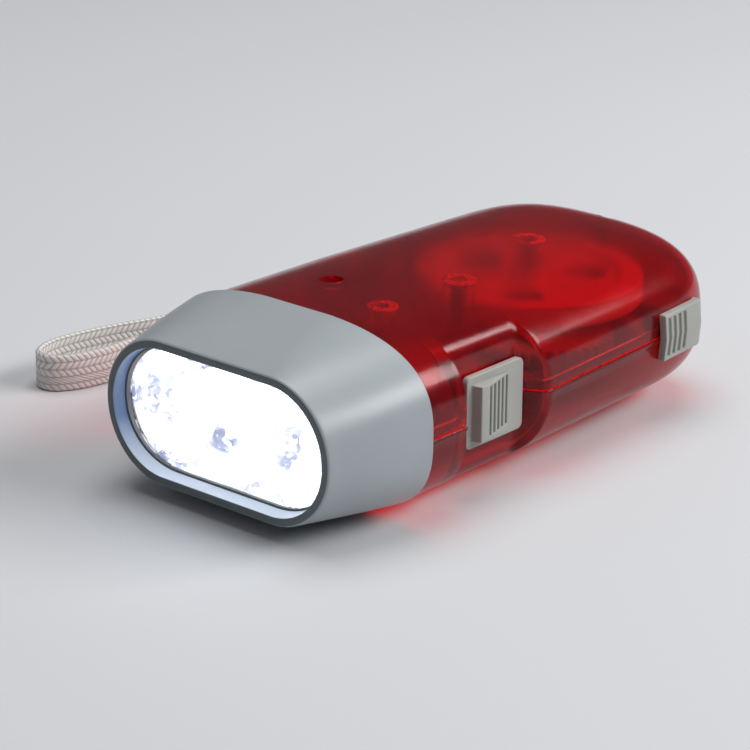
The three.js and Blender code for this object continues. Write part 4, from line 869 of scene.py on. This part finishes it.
def make_bezel():
    """The head: grey outside, with painted shade darkening its rim and lens seat, and a painted glow on the wall
    of its mouth.
    """
    back = HEAD["back"]
    profile = [(back, 0.5), (back - 0.1, 0.2), (back - 0.35, 0.0)]
    profile += [(y, 0.0) for y in np.linspace(back - 1, HEAD_ROUND + 0.6, HEAD_STATIONS)]
    for k in range(HEAD_ROUND_STEPS + 1):
        t = math.pi / 2 * k / HEAD_ROUND_STEPS
        profile.append((HEAD_ROUND * (1 - math.sin(t)), HEAD_ROUND * (1 - math.cos(t))))
    rim_from = len(profile) - 4
    profile += RIM_FACE
    mouth_from = len(profile) - 1
    profile += MOUTH_WALL
    mouth_to = len(profile) - 1
    profile += LENS_SEAT
    rim_to = len(profile) - 1
    profile += HEAD_INSIDE
    rings = [head_ring(y, inset) for y, inset in profile]
    points, faces = loft(rings)
    look_of = []
    for r in range(len(rings) - 1):
        kind = 2 if mouth_from <= r < mouth_to else 1 if rim_from <= r < rim_to else 0
        look_of += [kind] * len(rings[0])
    made = new_object("bezel_skin", points, faces, BEZEL_GREY, "housing", 30, (RIM_PAINTED_SHADE, MOUTH_PAINTED_GLOW), look_of)
    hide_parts("head_bezel")


def make_lens():
    points, faces = loft([stadium_ring(y, inset) for y, inset in LENS_PROFILE])
    made = new_object("lens_window", points, faces, CLEAR, "housing", 50)
    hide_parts("lens")


def make_reflector():
    """Three overlapping cups with uneven facets and holes for the lamps."""
    rng = np.random.default_rng(FACET_SEED)
    rings = [stadium_ring(REFLECTOR_FRONT - 0.2, 2.03, *CUP_STEPS)]
    lift = rng.normal(0, FACET_LIFT, (len(CUP_INSETS), FACETS_ROUND))
    for j, inset in enumerate(CUP_INSETS):
        ring = []
        for k, p in enumerate(stadium_ring(0, inset, *CUP_STEPS)):
            x, z = p.x / MM, p.z / MM - HEAD["front_z"]
            depth = 0.0
            for cx in CUPS:
                away = ((x - cx) ** 2 + z ** 2) / CUP_RADIUS ** 2
                depth = max(depth, CUP_DEPTH * (1 - away))
            if depth > 0:
                depth = max(depth + lift[j][k], 0)
            ring.append(spot(x, REFLECTOR_FRONT + depth, HEAD["front_z"] + z))
        rings.append(ring)
    points, faces = loft(rings)
    mid = [sum((points[i] for i in face), Vector()) / len(face) for face in faces]
    kept = []
    for face, m in zip(faces, mid):
        near = min(math.hypot(m.x / MM - cx, m.z / MM - HEAD["front_z"]) for cx in CUPS)
        if near > LAMP_HOLE:
            kept.append(face)
    made = new_object("reflector_cups", points, kept, MIRROR_PAINTED_GLOW, "housing", 70)
    thick = made.modifiers.new("thick", "SOLIDIFY")
    thick.thickness, thick.offset = REFLECTOR_WALL * MM, -1
    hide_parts("reflector")


def make_lamps():
    """The three lamps, each where its solid is."""
    r = LAMP_RADIUS
    for side, x in zip(("left", "centre", "right"), CUPS):
        cad = "led_" + side
        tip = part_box(cad)[0].y / MM + LENGTH / 2
        base = tip + LAMP_LENGTH
        profile = [(0.0, base)] + [(radius, base - before) for radius, before in LAMP_FLANGE]
        profile += [(r, base - 1.3), (r, tip + r)]
        for k in range(1, DOME_STEPS):
            t = math.pi / 2 * k / DOME_STEPS
            profile.append((r * math.cos(t), tip + r - r * math.sin(t)))
        profile.append((0.0, tip))
        points, faces = lathe(spot(x, 0, HEAD["front_z"]), (0, 1, 0), profile, 36)
        made = new_object("lamp_" + side, points, faces, LAMP, "housing")
        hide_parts(cad)


# Floor and light

def make_stage():
    s = FLOOR_REACH
    mesh = new_mesh("floor", [(-s, -s, 0), (s, -s, 0), (s, s, 0), (-s, s, 0)], [(0, 1, 2, 3)])
    floor = link("floor", mesh)
    mesh.materials.append(surface("floor_paper", (0.61, 0.62, 0.64), roughness=0.85, vary=0.01, broad=3, grain=700,
                                  rough_vary=0.01, Specular_IOR_Level=0.2))

    world = bpy.data.worlds.new("studio")
    bpy.context.scene.world = world
    world.use_nodes = True
    back = world.node_tree.nodes["Background"]
    back.inputs["Color"].default_value = WORLD_COLOUR
    back.inputs["Strength"].default_value = WORLD_STRENGTH

    for name, place, aim, width, height, power in LAMPS:
        data = bpy.data.lights.new(name, "AREA")
        data.shape, data.size, data.size_y, data.energy = "RECTANGLE", width, height, power
        obj = link(name, data)
        obj.location = place
        obj.rotation_mode = "QUATERNION"
        obj.rotation_quaternion = (Vector(aim) - Vector(place)).to_track_quat("-Z", "Y")


make_camera()
make_strap()
make_stage()
make_shells()
make_bosses()
make_bezel()
make_lens()
make_reflector()
make_lamps()
dress(["squeeze_lever"], RED, bevel=0.25)
dress(["switch_slider", "lock_slider"], SLIDE_GREY, bevel=0.22)
dress(["clutch_pinion", "drive_gear", "idler_gear", "flywheel_pinion"], NYLON, bevel=0.08)
dress(["flywheel"], WHEEL_PALE, bevel=0.25)
dress(["lever_pin", "drive_axle", "idler_axle", "flywheel_shaft", "case_screw_front", "case_screw_rear",
       "strap_pin", "lever_spring"], STEEL, bevel=0.12)
dress(["stator_core"], IRON, bevel=0.1)
dress(["rotor_magnet"], MAGNET, bevel=0.25)
dress(["coil_bobbin", "switch_body", "latch_bar"], BLACK, bevel=0.15)
dress(["coil_winding"], COPPER, bevel=0)
dress(["cell_lower", "cell_middle", "cell_upper"], CELL, bevel=0.3)
dress(["led_board"], BOARD, bevel=0.1)

bpy.context.scene.view_settings.view_transform = "Standard"
